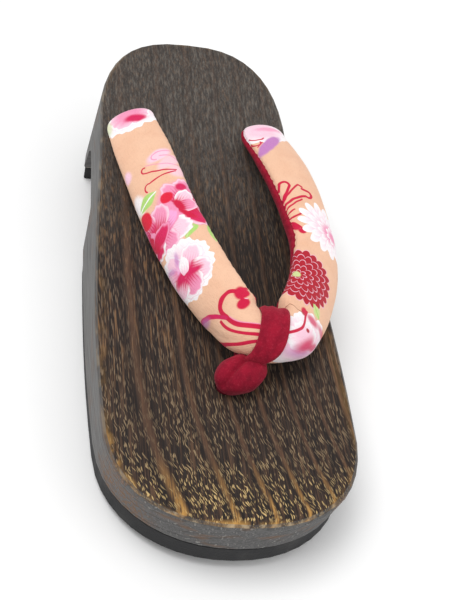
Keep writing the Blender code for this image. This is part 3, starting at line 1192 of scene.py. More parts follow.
@dataclass(frozen=True)
class ToeBand:
    """The velveteen band wrapped once round the meeting point of the arms."""

    form: LoopForm
    turns: int = 220
    around: int = 72
    wrinkle: float = 0.00044
    wrinkle_scale: Pair = (2.6, 1.4)
    edge_swell: float = 0.00018
    edge_place: float = 0.72
    edge_width: float = 0.16
    edge_sink: float = 0.4

    def rise(self, turn: float, wide: float) -> float:
        """Return how far the outer face stands out from the plain band.

        Args:
            turn: The angle round the ring.
            wide: The place across the band, from -1 to 1.

        Returns:
            The height in metres.
        """
        across, round_ring = self.wrinkle_scale
        crease = noise.noise(Vector((wide * across, math.sin(turn) * round_ring, math.cos(turn))))
        edge = bell(abs(wide) - self.edge_place, self.edge_width) - self.edge_sink
        return self.wrinkle * crease + self.edge_swell * edge

    def build(self, material: Material) -> Piece:
        """Make the band.

        Args:
            material: The velveteen.

        Returns:
            The band.
        """
        form = self.form
        skin = Skin("toe_band", looped=True)
        half_length, half_height = form.inner_length / 2, form.inner_height / 2
        middle = form.thickness / 2
        power = 2 / form.corner_power
        for step in range(self.turns):
            turn = math.tau * step / self.turns
            half, lean = form.at(turn)
            ring = []
            for column in range(self.around):
                angle = math.tau * column / self.around
                wide, thick = math.cos(angle), math.sin(angle)
                wide = math.copysign(abs(wide) ** power, wide)
                thick = math.copysign(abs(thick) ** power, thick)
                out = middle + middle * thick + (self.rise(turn, wide) if thick > 0 else 0.0)
                ring.append(
                    form.centre
                    + form.aside * (lean + half * wide)
                    + form.forward * ((half_length + out) * math.cos(turn))
                    + UP * ((half_height + out) * math.sin(turn))
                )
            skin.add(ring, half_length * turn)
        return skin.build([material])


@dataclass(frozen=True)
class Knob:
    """The band's gathered end, bunched over the front hole."""

    centre: Triple = (0.0039, -0.0595, 0.0056)
    ends: Pair = (0.015, 0.985)
    end_power: float = 0.86
    long_way: Triple = (16.0, 5.0, 4.0)
    halves: Triple = (0.0090, 0.0065, 0.0063)
    rings: int = 90
    around: int = 120
    pleats: int = 7
    pleat_rise: float = 0.00035
    pleat_start: float = 1.1
    pleat_least: float = 0.25
    gather: Pair = (0.15, 0.95)
    soft_rise: float = 0.0004
    soft_scale: float = 2.0
    crease_way: Triple = (14.0, 13.0, 2.0)
    crease_off: float = -0.0006
    crease_depth: float = 0.0013
    crease_width: float = 0.0011
    crease_height: Pair = (-0.003, 0.002)
    lobe_rise: float = 0.0006
    lobe_place: float = 0.0036
    lobe_width: float = 0.0022
    clear: float = 0.0002

    def crease(self, spot: Vector) -> float:
        """Return how far the fold between the two lobes moves a point.

        Args:
            spot: The point from the knob's middle.

        Returns:
            The move outward, in metres.
        """
        off = spot.dot(Vector(self.crease_way).cross(UP).normalized()) - self.crease_off
        upper = smooth(*self.crease_height, spot.z)
        lobes = self.lobe_rise * bell(abs(off) - self.lobe_place, self.lobe_width)
        return upper * (lobes - self.crease_depth * bell(off, self.crease_width))

    def pleat(self, reach: float, angle: float) -> float:
        """Return how far the gathered cloth stands out from the plain knob.

        Args:
            reach: The place along the knob, from -1 to 1.
            angle: The angle round it.

        Returns:
            The height in metres.
        """
        deep = self.pleat_rise * (self.pleat_least + smooth(*self.gather, reach))
        place = Vector((reach * self.soft_scale, math.cos(angle), math.sin(angle)))
        soft = noise.noise(place)
        return math.sin(self.pleats * angle + self.pleat_start) * deep + soft * self.soft_rise

    def build(self, material: Material) -> Piece:
        """Make the knob.

        Args:
            material: The velveteen.

        Returns:
            The knob.
        """
        ahead = Vector(self.long_way).normalized()
        aside = ahead.cross(UP).normalized()
        above = aside.cross(ahead)
        middle = Vector(self.centre)
        middle.z += BASE.top(middle.y)
        skin = Skin("toe_knob")
        for step in range(self.rings + 1):
            turn = mix(*self.ends, step / self.rings) * math.pi
            reach, scale = -math.cos(turn), math.sin(turn) ** self.end_power
            ring = []
            for column in range(self.around):
                angle = math.tau * column / self.around
                size = scale + self.pleat(reach, angle) / self.halves[1] * math.sin(turn)
                spot = (
                    ahead * (self.halves[0] * reach)
                    + aside * (self.halves[1] * size * math.cos(angle))
                    + above * (self.halves[2] * size * math.sin(angle))
                )
                point = middle + spot + spot.normalized() * self.crease(spot)
                point.z = max(point.z, BASE.top(point.y) + self.clear)
                ring.append(point)
            skin.add(ring, self.halves[0] * reach)
        return skin.build([material])


@dataclass(frozen=True)
class Cord:
    """A round cord of twisted strands along a route."""

    name: str
    radius: float
    strands: int = 3
    twist_pitch: float = 0.0085
    groove: float = 0.16
    around: int = 36
    beside: Triple = (0.31, 0.12, 0.94)

    def build(self, route: list[Vector], material: Material,
              looped: bool = False) -> Piece:
        """Make the cord.

        Args:
            route: The points that it follows.
            material: Its finish.
            looped: Whether its end joins its start.

        Returns:
            The cord.
        """
        skin = Skin(self.name, looped)
        total = len(route)
        along = 0.0
        whole = lengths_round(route)[-1]
        winds = round(whole / self.twist_pitch)
        for index, point in enumerate(route):
            before = route[index - 1] if looped or index else point
            after = route[(index + 1) % total] if looped or index < total - 1 else point
            ahead = (after - before).normalized()
            sideways = ahead.cross(Vector(self.beside)).normalized()
            upward = ahead.cross(sideways)
            ring = []
            for column in range(self.around):
                angle = math.tau * column / self.around
                wound = angle * self.strands - math.tau * winds * along / whole
                size = self.radius * (1 - self.groove * (1 - abs(math.cos(wound / 2))))
                ring.append(point + sideways * (size * math.cos(angle))
                            + upward * (size * math.sin(angle)))
            skin.add(ring, along)
            along += (after - point).length if index < total - 1 else 0.0
        return skin.build([material])


@dataclass(frozen=True)
class Knot:
    """A knotted cord end under the base."""

    node: str
    centre: Triple
    radius: float
    height: float
    cord: float
    points: int = 150

    def build(self, material: Material) -> Piece:
        """Make the knot, a trefoil.

        Args:
            material: Its finish.

        Returns:
            The knot.
        """
        spread = (self.radius - self.cord) / 3
        rise = self.height / 2 - self.cord
        route = []
        for step in range(self.points):
            turn = math.tau * step / self.points
            reach = spread * (2 + math.cos(3 * turn))
            route.append(Vector(self.centre) + Vector((
                reach * math.cos(2 * turn), reach * math.sin(2 * turn), rise * math.sin(3 * turn)
            )))
        cord = Cord(f"tied_{self.node}", self.cord, strands=2)
        return cord.build(route, material, looped=True)


STRAIGHT = 0.04
ARC_END = 0.001


class Canvas:
    """A printed cloth: its ground and the motifs laid over it, in millimetres."""

    blocks: dict[str, NodeTree] = {}

    def __init__(self, tree: Tree, along: Number, across: Number, ground: Colour) -> None:
        """Start a print.

        Args:
            tree: The nodes that it is made of.
            along: The length along the cloth.
            across: The length across it.
            ground: The plain ground.
        """
        self.tree = tree
        self.along = along
        self.across = across
        self.colour = ground

    def lay(self, tint: Colour, mask: Number) -> None:
        """Lay a tint where the mask is 1."""
        self.colour = self.tree.blend(self.colour, tint, mask)

    def local(self, along: Level, across: Level, turn: Level) -> tuple[Number, Number]:
        """Return lengths from a point, turned by degrees.

        Args:
            along: The point's length along.
            across: Its length across.
            turn: The angle from the cloth's length to the first of the axes.

        Returns:
            The lengths ahead and aside.
        """
        # A plain turn is made a Number by adding it to one that is 0 everywhere.
        angle = (self.along * 0.0 + turn) * DEGREE
        ahead, aside = self.along - along, self.across - across
        return (ahead * angle.cosine() + aside * angle.sine(),
                aside * angle.cosine() - ahead * angle.sine())

    def placed(self, name: str, given: dict[str, object], kind: str,
               make: Callable[["Canvas", SimpleNamespace], object]) -> Socket:
        """Place a group, made the first time that it is asked for.

        Args:
            name: The group's name.
            given: The values of its own inputs, by name.
            kind: The type of its output.
            make: What builds its result, from a canvas inside it and its inputs.

        Returns:
            The placed group's output.
        """
        given = {"cloth_along": self.along, "cloth_across": self.across, **given}
        if name not in self.blocks:
            block = Block(name, given)
            own = block.own
            inner = Canvas(block, own.cloth_along, own.cloth_across, getattr(own, "ground", WHITE))
            self.blocks[name] = block.give(make(inner, own), kind)
        return self.tree.node("ShaderNodeGroup", {"node_tree": self.blocks[name]}, given).outputs[0]

    def stamp(self, motif: "Motif") -> None:
        """Lay one motif.

        Args:
            motif: The motif, whose fields are its group's inputs.
        """
        def make(inner: Canvas, own: SimpleNamespace) -> Colour:
            """Return the colour of the motif over its ground."""
            motif.draw(inner, own)
            return inner.colour

        given = {"ground": self.colour, **vars(motif)}
        self.colour = self.placed(type(motif).__name__, given, "NodeSocketColor", make)

    @staticmethod
    def _from_line(inner: "Canvas", own: SimpleNamespace) -> Number:
        """Return the distance to a straight piece, or to a nearer one before it.

        Args:
            inner: The canvas inside the group.
            own: The group's inputs.

        Returns:
            The distance.
        """
        ahead, aside = inner.local(own.near_along, own.near_across, own.turn)
        over = ahead - ahead.most(0.0).least(own.length)
        return (over * over + aside * aside).root().least(own.before)

    @staticmethod
    def _from_arc(inner: "Canvas", own: SimpleNamespace) -> Number:
        """Return the distance to an arc, or to a nearer piece before it.

        Args:
            inner: The canvas inside the group.
            own: The group's inputs.

        Returns:
            The distance.
        """
        ahead, aside = inner.local(own.middle_along, own.middle_across, own.turn)
        aside = aside.size()
        from_arc = ((ahead * ahead + aside * aside).root() - own.radius).size()
        over, off = ahead - own.end_ahead, aside - own.end_aside
        from_end = (over * over + off * off).root()
        past = aside.angle(ahead).between(own.half, own.half + ARC_END)
        return (from_arc + (from_end - from_arc) * past).least(own.before)

    def line(self, before: Level, near: Pair, far: Pair) -> Number:
        """Return the lesser of a distance and that to a straight piece of line.

        Args:
            before: The distance to the pieces before it.
            near: One end.
            far: The other end.

        Returns:
            The distance to the nearest.
        """
        turn = math.degrees(math.atan2(far[1] - near[1], far[0] - near[0]))
        given = {"before": before, "near_along": near[0], "near_across": near[1],
                 "length": math.dist(near, far), "turn": turn}
        return Number(self.tree, self.placed("Line", given, "NodeSocketFloat", self._from_line))

    def arc(self, before: Level, near: Pair, by: Pair,
            far: Pair) -> Number:
        """Return the lesser of a distance and that to the arc through three points.

        Args:
            before: The distance to the pieces before it.
            near: One end.
            by: A point that the arc passes.
            far: The other end.

        Returns:
            The distance to the nearest.
        """
        start = complex(*near)
        one, two = complex(*by) - start, complex(*far) - start
        bend = (one.conjugate() * two).imag
        if abs(bend) < STRAIGHT * abs(one) * abs(two):
            return self.line(self.line(before, near, by), by, far)
        middle = start + 1j * (two * abs(one) ** 2 - one * abs(two) ** 2) / (-2 * bend)
        way = complex(*by) - middle
        back, on = cmath.phase((start - middle) / way), cmath.phase((start + two - middle) / way)
        radius, half = abs(start - middle), (abs(back) + abs(on)) / 2
        given = {"before": before, "middle_along": middle.real, "middle_across": middle.imag,
                 "radius": radius, "half": half, "end_ahead": radius * math.cos(half),
                 "end_aside": radius * math.sin(half),
                 "turn": math.degrees(cmath.phase(way) + (back + on) / 2)}
        return Number(self.tree, self.placed("Arc", given, "NodeSocketFloat", self._from_arc))


class Motif:
    """A motif of the print, drawn from its own numbers and tints."""

    def parts(self) -> tuple["Motif", ...]:
        """Return the motifs that make it up."""
        return (self,)

    def draw(self, canvas: Canvas, own: SimpleNamespace) -> None:
        """Lay the motif.

        Args:
            canvas: The canvas inside the motif's group.
            own: The group's inputs: the motif's own fields.
        """
        raise NotImplementedError


@dataclass(frozen=True)
class Blot(Motif):
    """A soft oval of one tint."""

    along: float
    across: float
    long: float
    wide: float
    tint: Tint
    turn: float = 0.0
    soft: float = 0.22
    cover: float = 1.0

    def draw(self, canvas: Canvas, own: SimpleNamespace) -> None:
        """Lay the oval.

        Args:
            canvas: The canvas inside the group.
            own: The oval's own fields.
        """
        ahead, aside = canvas.local(own.along, own.across, own.turn)
        ahead, aside = ahead / own.long, aside / own.wide
        reach = (ahead * ahead + aside * aside).root()
        canvas.lay(own.tint, (1 - reach.between(1 - own.soft, 1 + own.soft)) * own.cover)


@dataclass(frozen=True)
class Leaf(Motif):
    """A pointed leaf with a paler rib."""

    POINT = 1.7
    EDGE = (1.06, 0.86)
    RIB = (0.45, 0.10)

    along: float
    across: float
    long: float
    wide: float
    turn: float
    tint: Tint
    rib: Tint

    def draw(self, canvas: Canvas, own: SimpleNamespace) -> None:
        """Lay the leaf.

        Args:
            canvas: The canvas inside the group.
            own: The leaf's own fields.
        """
        ahead, aside = canvas.local(own.along, own.across, own.turn)
        share = (ahead / own.long).size()
        blade = (aside.size() / own.wide + share**self.POINT).between(*self.EDGE)
        canvas.lay(own.tint, blade)
        canvas.lay(own.rib, blade * aside.size().between(*self.RIB))


@dataclass(frozen=True)
class Petal(Motif):
    """One petal, from its base at a point to its frilled tip."""

    MIDDLE = 0.52
    RUFFLE = 0.05
    RUFFLE_AHEAD = 0.9
    EDGE = (1.03, 0.93)
    VEINS = 3.1
    VEIN_SPAN = (0.15, 0.8)
    VEIN_SHIFT = 0.22
    TIP_SPAN = (0.20, 0.85)
    RIM_SPAN = (0.66, 0.92)
    RIM_START = (0.15, 0.5)

    along: float
    across: float
    turn: float
    long: float
    wide: float
    heart: Tint
    tip: Tint
    rim: Tint
    frills: float = 2.4

    def draw(self, canvas: Canvas, own: SimpleNamespace) -> None:
        """Lay the petal.

        Args:
            canvas: The canvas inside the group.
            own: The petal's own fields.
        """
        ahead, aside = canvas.local(own.along, own.across, own.turn)
        share = ahead / own.long
        over, off = (share - self.MIDDLE) / self.MIDDLE, aside / own.wide
        ruffle = (aside * own.frills + ahead * self.RUFFLE_AHEAD).sine() * self.RUFFLE
        reach = (over * over + off * off).root() + ruffle
        inside = reach.between(*self.EDGE)
        vein = (aside * self.VEINS).sine().size().between(*self.VEIN_SPAN)
        rim = reach.between(*self.RIM_SPAN) * share.between(*self.RIM_START)
        canvas.lay(own.heart, inside)
        canvas.lay(own.tip, inside * (share + vein * self.VEIN_SHIFT).between(*self.TIP_SPAN))
        canvas.lay(own.rim, inside * rim)


@dataclass(frozen=True)
class Ring(Motif):
    """One ring of a flower's petals, over the rings outside it."""

    EDGE = (0.14, -0.14)
    TIP_SPAN = (0.35, 0.95)
    RIB_SPAN = (0.42, 0.10)
    RIM_SPAN = (-0.2, 0.2)

    radius: float
    petals: float
    heart: Tint
    tip: Tint
    rim: Tint
    rim_width: float = 0.7
    turn: float = 0.0
    notch: float = 0.22
    round_power: float = 0.5
    frills: float = 0.0
    frill: float = 0.0
    shift_along: float = 0.0
    shift_across: float = 0.0
    rib: float = 0.0
    along: float = 0.0
    across: float = 0.0
    squash: float = 1.0
    lie: float = 0.0

    def draw(self, canvas: Canvas, own: SimpleNamespace) -> None:
        """Lay the ring.

        Args:
            canvas: The canvas inside the group.
            own: The ring's own fields.
        """
        ahead, aside = canvas.local(own.along, own.across, own.lie)
        ahead, aside = ahead - own.shift_along, aside / own.squash - own.shift_across
        reach = (ahead * ahead + aside * aside).root()
        angle = aside.angle(ahead) - own.turn * DEGREE
        wave = (angle * (own.petals * 0.5)).cosine().size()
        edge = own.radius * (1 - own.notch + own.notch * wave**own.round_power)
        edge = edge + (angle * own.frills).sine() * own.frill
        inside = (reach - edge).between(*self.EDGE)
        canvas.lay(own.heart, inside)
        canvas.lay(own.tip, inside * (reach / edge).between(*self.TIP_SPAN))
        canvas.lay(own.heart, inside * wave.between(*self.RIB_SPAN) * own.rib)
        canvas.lay(own.rim, inside * (reach - edge + own.rim_width).between(*self.RIM_SPAN))


@dataclass(frozen=True)
class Flower(Motif):
    """A flower of rings of petals, from the outermost in."""

    along: float
    across: float
    rings: tuple[Ring, ...]
    squash: float = 1.0
    lie: float = 0.0

    def parts(self) -> tuple[Motif, ...]:
        """Return the rings, placed."""
        return tuple(replace(ring, along=self.along, across=self.across, squash=self.squash,
                             lie=self.lie) for ring in self.rings)


@dataclass(frozen=True)
class Stroke:
    """A brush line through points."""

    points: tuple[Pair, ...]
    width: float
    tint: Tint
    far: float = 1000.0
    soft: float = 0.14

    def draw_on(self, canvas: Canvas) -> None:
        """Lay the line.

        Args:
            canvas: The cloth's canvas.
        """
        reach: Level = self.far
        for index in range(0, len(self.points) - 1, 2):
            points = self.points[index:index + 3]
            reach = (canvas.arc if len(points) == 3 else canvas.line)(reach, *points)
        half = self.width / 2
        canvas.lay(self.tint, reach.between(half + self.soft, half - self.soft))


PEACH = dye(239, 193, 162)
WHITE = dye(250, 245, 247)
BLUSH = dye(250, 205, 222)
PINK = dye(240, 150, 185)
MAGENTA = dye(214, 34, 92)
CRIMSON = dye(206, 24, 66)
SCARLET = dye(224, 28, 60)
GARNET = dye(178, 24, 44)
LILAC = dye(196, 128, 192)
ORCHID = dye(244, 168, 214)
GREEN = dye(176, 214, 118)
MOSS = dye(206, 218, 150)
BROWN = dye(150, 92, 70)


def scaled_flower(along: float, across: float, radius: float, fill: Tint, line: Tint,
                  rows: int = 5) -> Flower:
    """Return a chrysanthemum of round scales.

    Args:
        along: The length along of its centre.
        across: The length across of its centre.
        radius: Its radius.
        fill: The tint of its scales.
        line: The tint of their outlines.
        rows: How many rows of scales it has.

    Returns:
        The flower.
    """
    scale_length, deepest = 1.9, 0.5
    rings = []
    for row in range(rows, 0, -1):
        size = radius * row / rows
        rings.append(Ring(size, 2 + 5 * row, fill, fill, line, rim_width=0.32, turn=37.0 * row,
                          notch=min(deepest, scale_length / size), round_power=0.70))
    return Flower(along, across, tuple(rings))


LEFT_PRINT = (
    Flower(-3.5, -1, (
        Ring(10.2, 7, BLUSH, WHITE, WHITE, 1.2, 10, 0.12, 0.5, 19, 0.3, 0, 0, 0.4),
        Ring(7, 5, PINK, BLUSH, WHITE, 0.8, 40, 0.15, 0.5, 13, 0.3, 1, 0.5, 0.4),
    ), 1.35, -8),
    Blot(0.5, -2.5, 2, 4.3, MAGENTA, 12, 0.35),
    Blot(-1.5, 9.5, 3.5, 2, MOSS, 0, 0.5, 0.6),
    Blot(26, -6, 2.6, 5.2, BLUSH, -18, 0.3),
    Blot(30.5, -9, 2.6, 5.5, BLUSH, -28, 0.3, 0.8),
    Blot(36, -11, 3.2, 3.5, BLUSH, 10, 0.4, 0.8),
    Stroke(((24.6, -11), (24.3, -7), (25, -4), (26.6, -3), (28, -4.6)), 0.45, PINK),
    Stroke(((29.5, -13), (27.2, -9.5), (26.5, -6)), 0.4, PINK),
    Stroke(((35.5, -10.5), (34, -5), (31.6, 1.6), (30.2, 2.4), (29.4, 0.8)), 0.62, CRIMSON),
    Stroke(((36.2, -10), (36.5, -4), (37.4, 1), (39, 3.6), (40.3, 3)), 0.62, CRIMSON),
    Stroke(((33, -12), (31, -6.5), (28.6, 0.4)), 0.35, PINK),
    Blot(27.8, 9.2, 2.6, 2.2, BLUSH, 0, 0.4),
    Blot(42.5, 8.8, 4.2, 3.4, WHITE, 0, 0.35, 0.9),
    Leaf(43.8, 4.6, 5.4, 2.7, 70, GREEN, WHITE),
    Leaf(65.5, -6.4, 5, 3, 40, GREEN, MOSS),
    Leaf(70.5, -13.5, 6, 2, 8, GREEN, MOSS),
    Blot(53, -6, 11, 8, PINK, 0, 0.25),
    Blot(58.5, 3, 8.6, 10, PINK, 0, 0.20),
    Petal(54, -9, -68, 11, 5.4, MAGENTA, PINK, BLUSH),
    Petal(53, -9, -112, 11, 5.2, CRIMSON, PINK, BLUSH),
    Petal(52, -8, -160, 11.5, 4.6, MAGENTA, PINK, BLUSH),
    Petal(55, -8.5, -22, 12, 4.2, CRIMSON, MAGENTA, BLUSH),
    Petal(51.5, -7, 162, 10.5, 3.6, MAGENTA, PINK, BLUSH),
    Blot(44.8, -9.6, 1.9, 2.2, MAGENTA, 20, 0.3),
    Petal(54, -5.6, -135, 8.6, 3.6, CRIMSON, BLUSH, WHITE),
    Petal(54, -5, -84, 8, 3.4, CRIMSON, PINK, BLUSH),
    Blot(53.4, -6.2, 3.6, 1.3, CRIMSON, -18, 0.3),
    Blot(59, -8, 4.2, 1, CRIMSON, -38, 0.35),
    Petal(60, 6, -72, 14, 5.6, PINK, BLUSH, WHITE),
    Petal(60, 6, -30, 10.4, 5, MAGENTA, PINK, BLUSH),
    Petal(59, 8, 18, 9.4, 5, CRIMSON, MAGENTA, WHITE),
    Petal(58, 9, 70, 9, 5.4, CRIMSON, MAGENTA, BLUSH),
    Petal(56, 9, 118, 9, 4.6, MAGENTA, ORCHID, WHITE),
    Petal(60, 5, -118, 11, 3.8, MAGENTA, ORCHID, PINK),
    Petal(59, 6, -148, 11.6, 4.4, CRIMSON, PINK, BLUSH),
    Petal(64, 11, -118, 12, 3.3, CRIMSON, MAGENTA, PINK),
    Petal(57, 6.5, 170, 9, 2.8, MAGENTA, PINK, BLUSH),
    Blot(47.4, -3, 2.5, 2.6, SCARLET, 0, 0.15),
    Blot(50.4, 8.6, 3.7, 3.3, SCARLET, 0, 0.12),
    Flower(79.5, 2.6, (
        Ring(12, 9, BLUSH, WHITE, WHITE, 1.2, 8, 0.12, 0.5, 23, 0.35, 0, 0, 0.25),
    )),
    Petal(81, 2, -140, 10.4, 4.6, PINK, BLUSH, WHITE),
    Petal(80, 5, 165, 9.6, 3.8, ORCHID, BLUSH, WHITE),
    Petal(79, 6, 110, 8.6, 3.8, PINK, BLUSH, WHITE),
    Petal(81.6, 2, -66, 9.4, 4.8, MAGENTA, BLUSH, WHITE),
    Petal(81.6, 3.4, -6, 8.6, 5.2, MAGENTA, PINK, WHITE),
    Petal(81, 5, 56, 8.4, 4.4, MAGENTA, BLUSH, WHITE),
    Blot(80.6, 4.6, 1.7, 5.4, MAGENTA, -8, 0.45),
    Blot(82.2, 0, 1.2, 3.6, MAGENTA, 14, 0.5),
    Petal(81, 3.6, -158, 6.6, 2.2, BLUSH, WHITE, WHITE),
    Blot(73.6, 3.8, 2.6, 1.1, LILAC, 18, 0.6, 0.7),
    Blot(75.4, 8.4, 1.1, 2.6, LILAC, 30, 0.6, 0.6),
    Stroke(((119, 4.4), (112, 1.6), (105.6, 0.4), (101, -1), (99.4, -4.8), (100.6, -7.8),
            (103.4, -8.8)), 1.8, CRIMSON),
    Stroke(((118, 2.8), (112, 0.6), (107, -0.4)), 0.35, PINK),
    Blot(103.4, -9.6, 3.3, 2.8, CRIMSON, 0, 0.2),
    Blot(108.4, -6.8, 2.9, 2.5, CRIMSON, 0, 0.2),
    Stroke(((104.8, -8), (106.6, -8.4), (108, -9.2)), 0.4, BLUSH),
    Stroke(((102, -12.6), (104.6, -8.4), (107, -8)), 1.1, CRIMSON),
    Stroke(((106, 0.8), (100.6, 4.4), (97.8, 9.4), (97.8, 12.4), (101, 13.4), (104.6, 12.6),
            (108, 11)), 1.55, MAGENTA),
    Blot(99, 9.4, 1.5, 3.4, LILAC, 20, 0.6, 0.7),
    Stroke(((119, 8.4), (112, 8.4), (106.4, 11.6), (108.6, 14.4), (114, 16)), 1.35, CRIMSON),
    Stroke(((119, 6.4), (112, 4.4), (105, 3)), 1.1, CRIMSON),
    Stroke(((90, -17), (97, -15.4), (104, -14.4), (110, -13)), 1.2, CRIMSON),
    Stroke(((90, 16.6), (97, 15), (103, 15.4), (111, 18)), 0.9, CRIMSON),
)
RIGHT_PRINT = (
    Flower(-1, -2, (
        Ring(9, 7, BLUSH, WHITE, WHITE, 1, 10, 0.12, 0.5, 15, 0.3, 0, 0, 0.4),
    ), 1.35, 0),
    Blot(9.8, -3.6, 9.8, 2.6, LILAC, -48, 0.2),
    Blot(-2, 1.5, 1.1, 6, PINK, 0, 0.5, 0.7),
    Stroke(((3, -9), (5, -6.4), (4, -3.4)), 0.7, CRIMSON),
    Stroke(((6.4, -10), (8.6, -7.6), (6.6, -6)), 0.7, CRIMSON),
    Stroke(((10, -8.6), (7, -5.4)), 0.6, MAGENTA),
    Stroke(((46, -14), (41, -9.6), (36, -6.4), (34, -7.6), (34.6, -10), (38, -11.4)),
           1.15, CRIMSON),
    Stroke(((47, -13.4), (40, -7.6), (35.4, -2.6), (36.6, -1.4)), 0.8, CRIMSON),
    Stroke(((48.6, -13), (43.6, -7), (41.4, -1), (40.2, 1.8), (38.6, 0.6), (37.6, -1.6)),
           1.15, CRIMSON),
    Stroke(((50, -12.6), (46, -7.6), (43.4, -3.6)), 0.7, CRIMSON),
    Stroke(((52, -12.6), (49.4, -8.4)), 0.7, CRIMSON),
    Stroke(((54, -12.6), (52.8, -8.6), (51.4, -6.2)), 0.9, CRIMSON),
    Stroke(((56, -13), (59, -8.8), (62, -8.4)), 0.9, CRIMSON),
    Blot(58.6, -10.6, 2.4, 1.6, CRIMSON, 20, 0.25),
    Blot(61.2, -8.6, 1.3, 1.5, CRIMSON, 0, 0.25),
    Flower(56.5, 3.5, (
        Ring(13, 14, BLUSH, WHITE, WHITE, 0.5, 4, 0.30, 0.8, 0, 0, 0, 0, 0.8),
        Ring(10.2, 13, BLUSH, WHITE, WHITE, 0.5, 17, 0.34, 0.8, 0, 0, 0.6, 1, 0.9),
        Ring(7.4, 11, PINK, WHITE, WHITE, 0.4, 40, 0.36, 0.8, 0, 0, 1.2, 2.6, 0.9),
        Ring(4.4, 8, PINK, WHITE, WHITE, 0.3, 12, 0.36, 0.8, 0, 0, 1.6, 4.2, 0.9),
    ), 0.95, 0),
    scaled_flower(87.5, -10.5, 15, GARNET, BLUSH),
    Blot(87.6, -11.4, 1.7, 1.5, MOSS, 0, 0.25),
    Leaf(98.4, 0.8, 3, 1.9, 70, MOSS, GREEN),
    Flower(110.5, 3.2, (
        Ring(13, 9, BLUSH, WHITE, WHITE, 1, 20, 0.14, 0.5, 19, 0.3, 1.6, 3.4, 0.5),
        Ring(6.4, 6, BLUSH, WHITE, WHITE, 0.6, 44, 0.22, 0.5, 13, 0.25, 0.6, 1, 0.6),
    ), 0.9, 0),
    Blot(112.4, 9.6, 3.6, 2.2, LILAC, 10, 0.8, 0.6),
    Blot(110.6, 7.2, 3.4, 1.9, MAGENTA, 24, 0.7, 0.9),
    Blot(107.8, 9.2, 2.6, 1.2, MAGENTA, -30, 0.5, 0.8),
    Blot(100.6, 8.6, 1.3, 4, MAGENTA, 10, 0.5, 0.7),
    Blot(103.4, 1.4, 1.6, 3.6, MAGENTA, 24, 0.5, 0.85),
    Blot(105.2, -3.6, 2.4, 1.3, CRIMSON, 10, 0.3),
    Blot(109.4, 2.2, 0.75, 0.9, GARNET, 0, 0.3),
    Stroke(((103.4, -2.6), (105.6, -2.4), (108, -1.6), (112, 1), (118, 4.6)), 1.05, CRIMSON),
    Stroke(((106.6, -3), (108, -7), (110, -11)), 0.4, BROWN),
)


@dataclass(frozen=True)
class Grain:
    """Noise drawn out along a piece: its scales across, along and up, and its detail."""

    x: float
    y: float
    z: float
    detail: float = 2.0

    def over(self, paint: Paint, place: tuple[Number, Number, Number]) -> Number:
        """Return the noise over a piece.

        Args:
            paint: The material.
            place: The place on the piece.

        Returns:
            The noise, from 0 to 1.
        """
        x, y, z = place
        return paint.cloud(paint.join(x * self.x, y * self.y, z * self.z), 1.0, self.detail)


@dataclass(frozen=True)
class CrepeFinish:
    """Printed crepe: crinkled matt cloth with a chart of motifs on a plain ground."""

    name: str
    chart: tuple[Motif | Stroke, ...]
    ground: Tint = PEACH
    warm: Tint = dye(230, 178, 146)
    shade: Tint = dye(150, 96, 84)
    tone_scale: float = 160.0
    tone_span: Pair = (0.35, 0.75)
    tone_share: float = 0.5
    shade_span: Pair = (0.5, 0.1)
    shade_share: float = 0.14
    wobble: float = 0.07
    sways: tuple[Pair, ...] = ((1.31, 0.83), (0.57, -1.13))
    swings: tuple[Pair, ...] = ((0.97, -1.21), (0.49, 0.71))
    crinkle: float = 0.00022
    crinkle_scale: float = 900.0
    crinkle_way: Pair = (0.001, 0.0022)
    crinkle_share: float = 0.55
    fine_scale: float = 2.2
    roughness: float = 0.82
    rough_more: float = 0.10

    def make(self) -> Material:
        """Return the material."""
        paint = Paint(self.name, Sheen_Weight=0.12, Sheen_Roughness=0.5,
                      Specular_IOR_Level=0.25)
        along, across = paint.lengths()
        tone = paint.cloud(paint.place, self.tone_scale, detail=3.0).between(*self.tone_span)
        ground = paint.blend(self.ground, self.warm, tone * self.tone_share)
        sway, swing = (
            sum((along * ahead + across * aside).sine() for ahead, aside in waves) * self.wobble
            for waves in (self.sways, self.swings)
        )
        canvas = Canvas(paint, along + sway, across + swing, ground)
        for motif in self.chart:
            if isinstance(motif, Stroke):
                motif.draw_on(canvas)
            else:
                for part in motif.parts():
                    canvas.stamp(part)
        flat = paint.join(along * self.crinkle_way[0], across * self.crinkle_way[1], 0.0)
        crepe = paint.cells(flat, self.crinkle_scale)
        fine = paint.cloud(flat, self.crinkle_scale * self.fine_scale, detail=3.0)
        height = crepe * self.crinkle_share + fine * (1 - self.crinkle_share)
        # Painted shade: the crinkle's hollows are multiplied darker.
        hollow = height.between(*self.shade_span) * self.shade_share
        colour = paint.blend(canvas.colour, self.shade, hollow, "MULTIPLY")
        rough = self.roughness + fine * self.rough_more
        return paint.finish(colour, rough, height, self.crinkle)


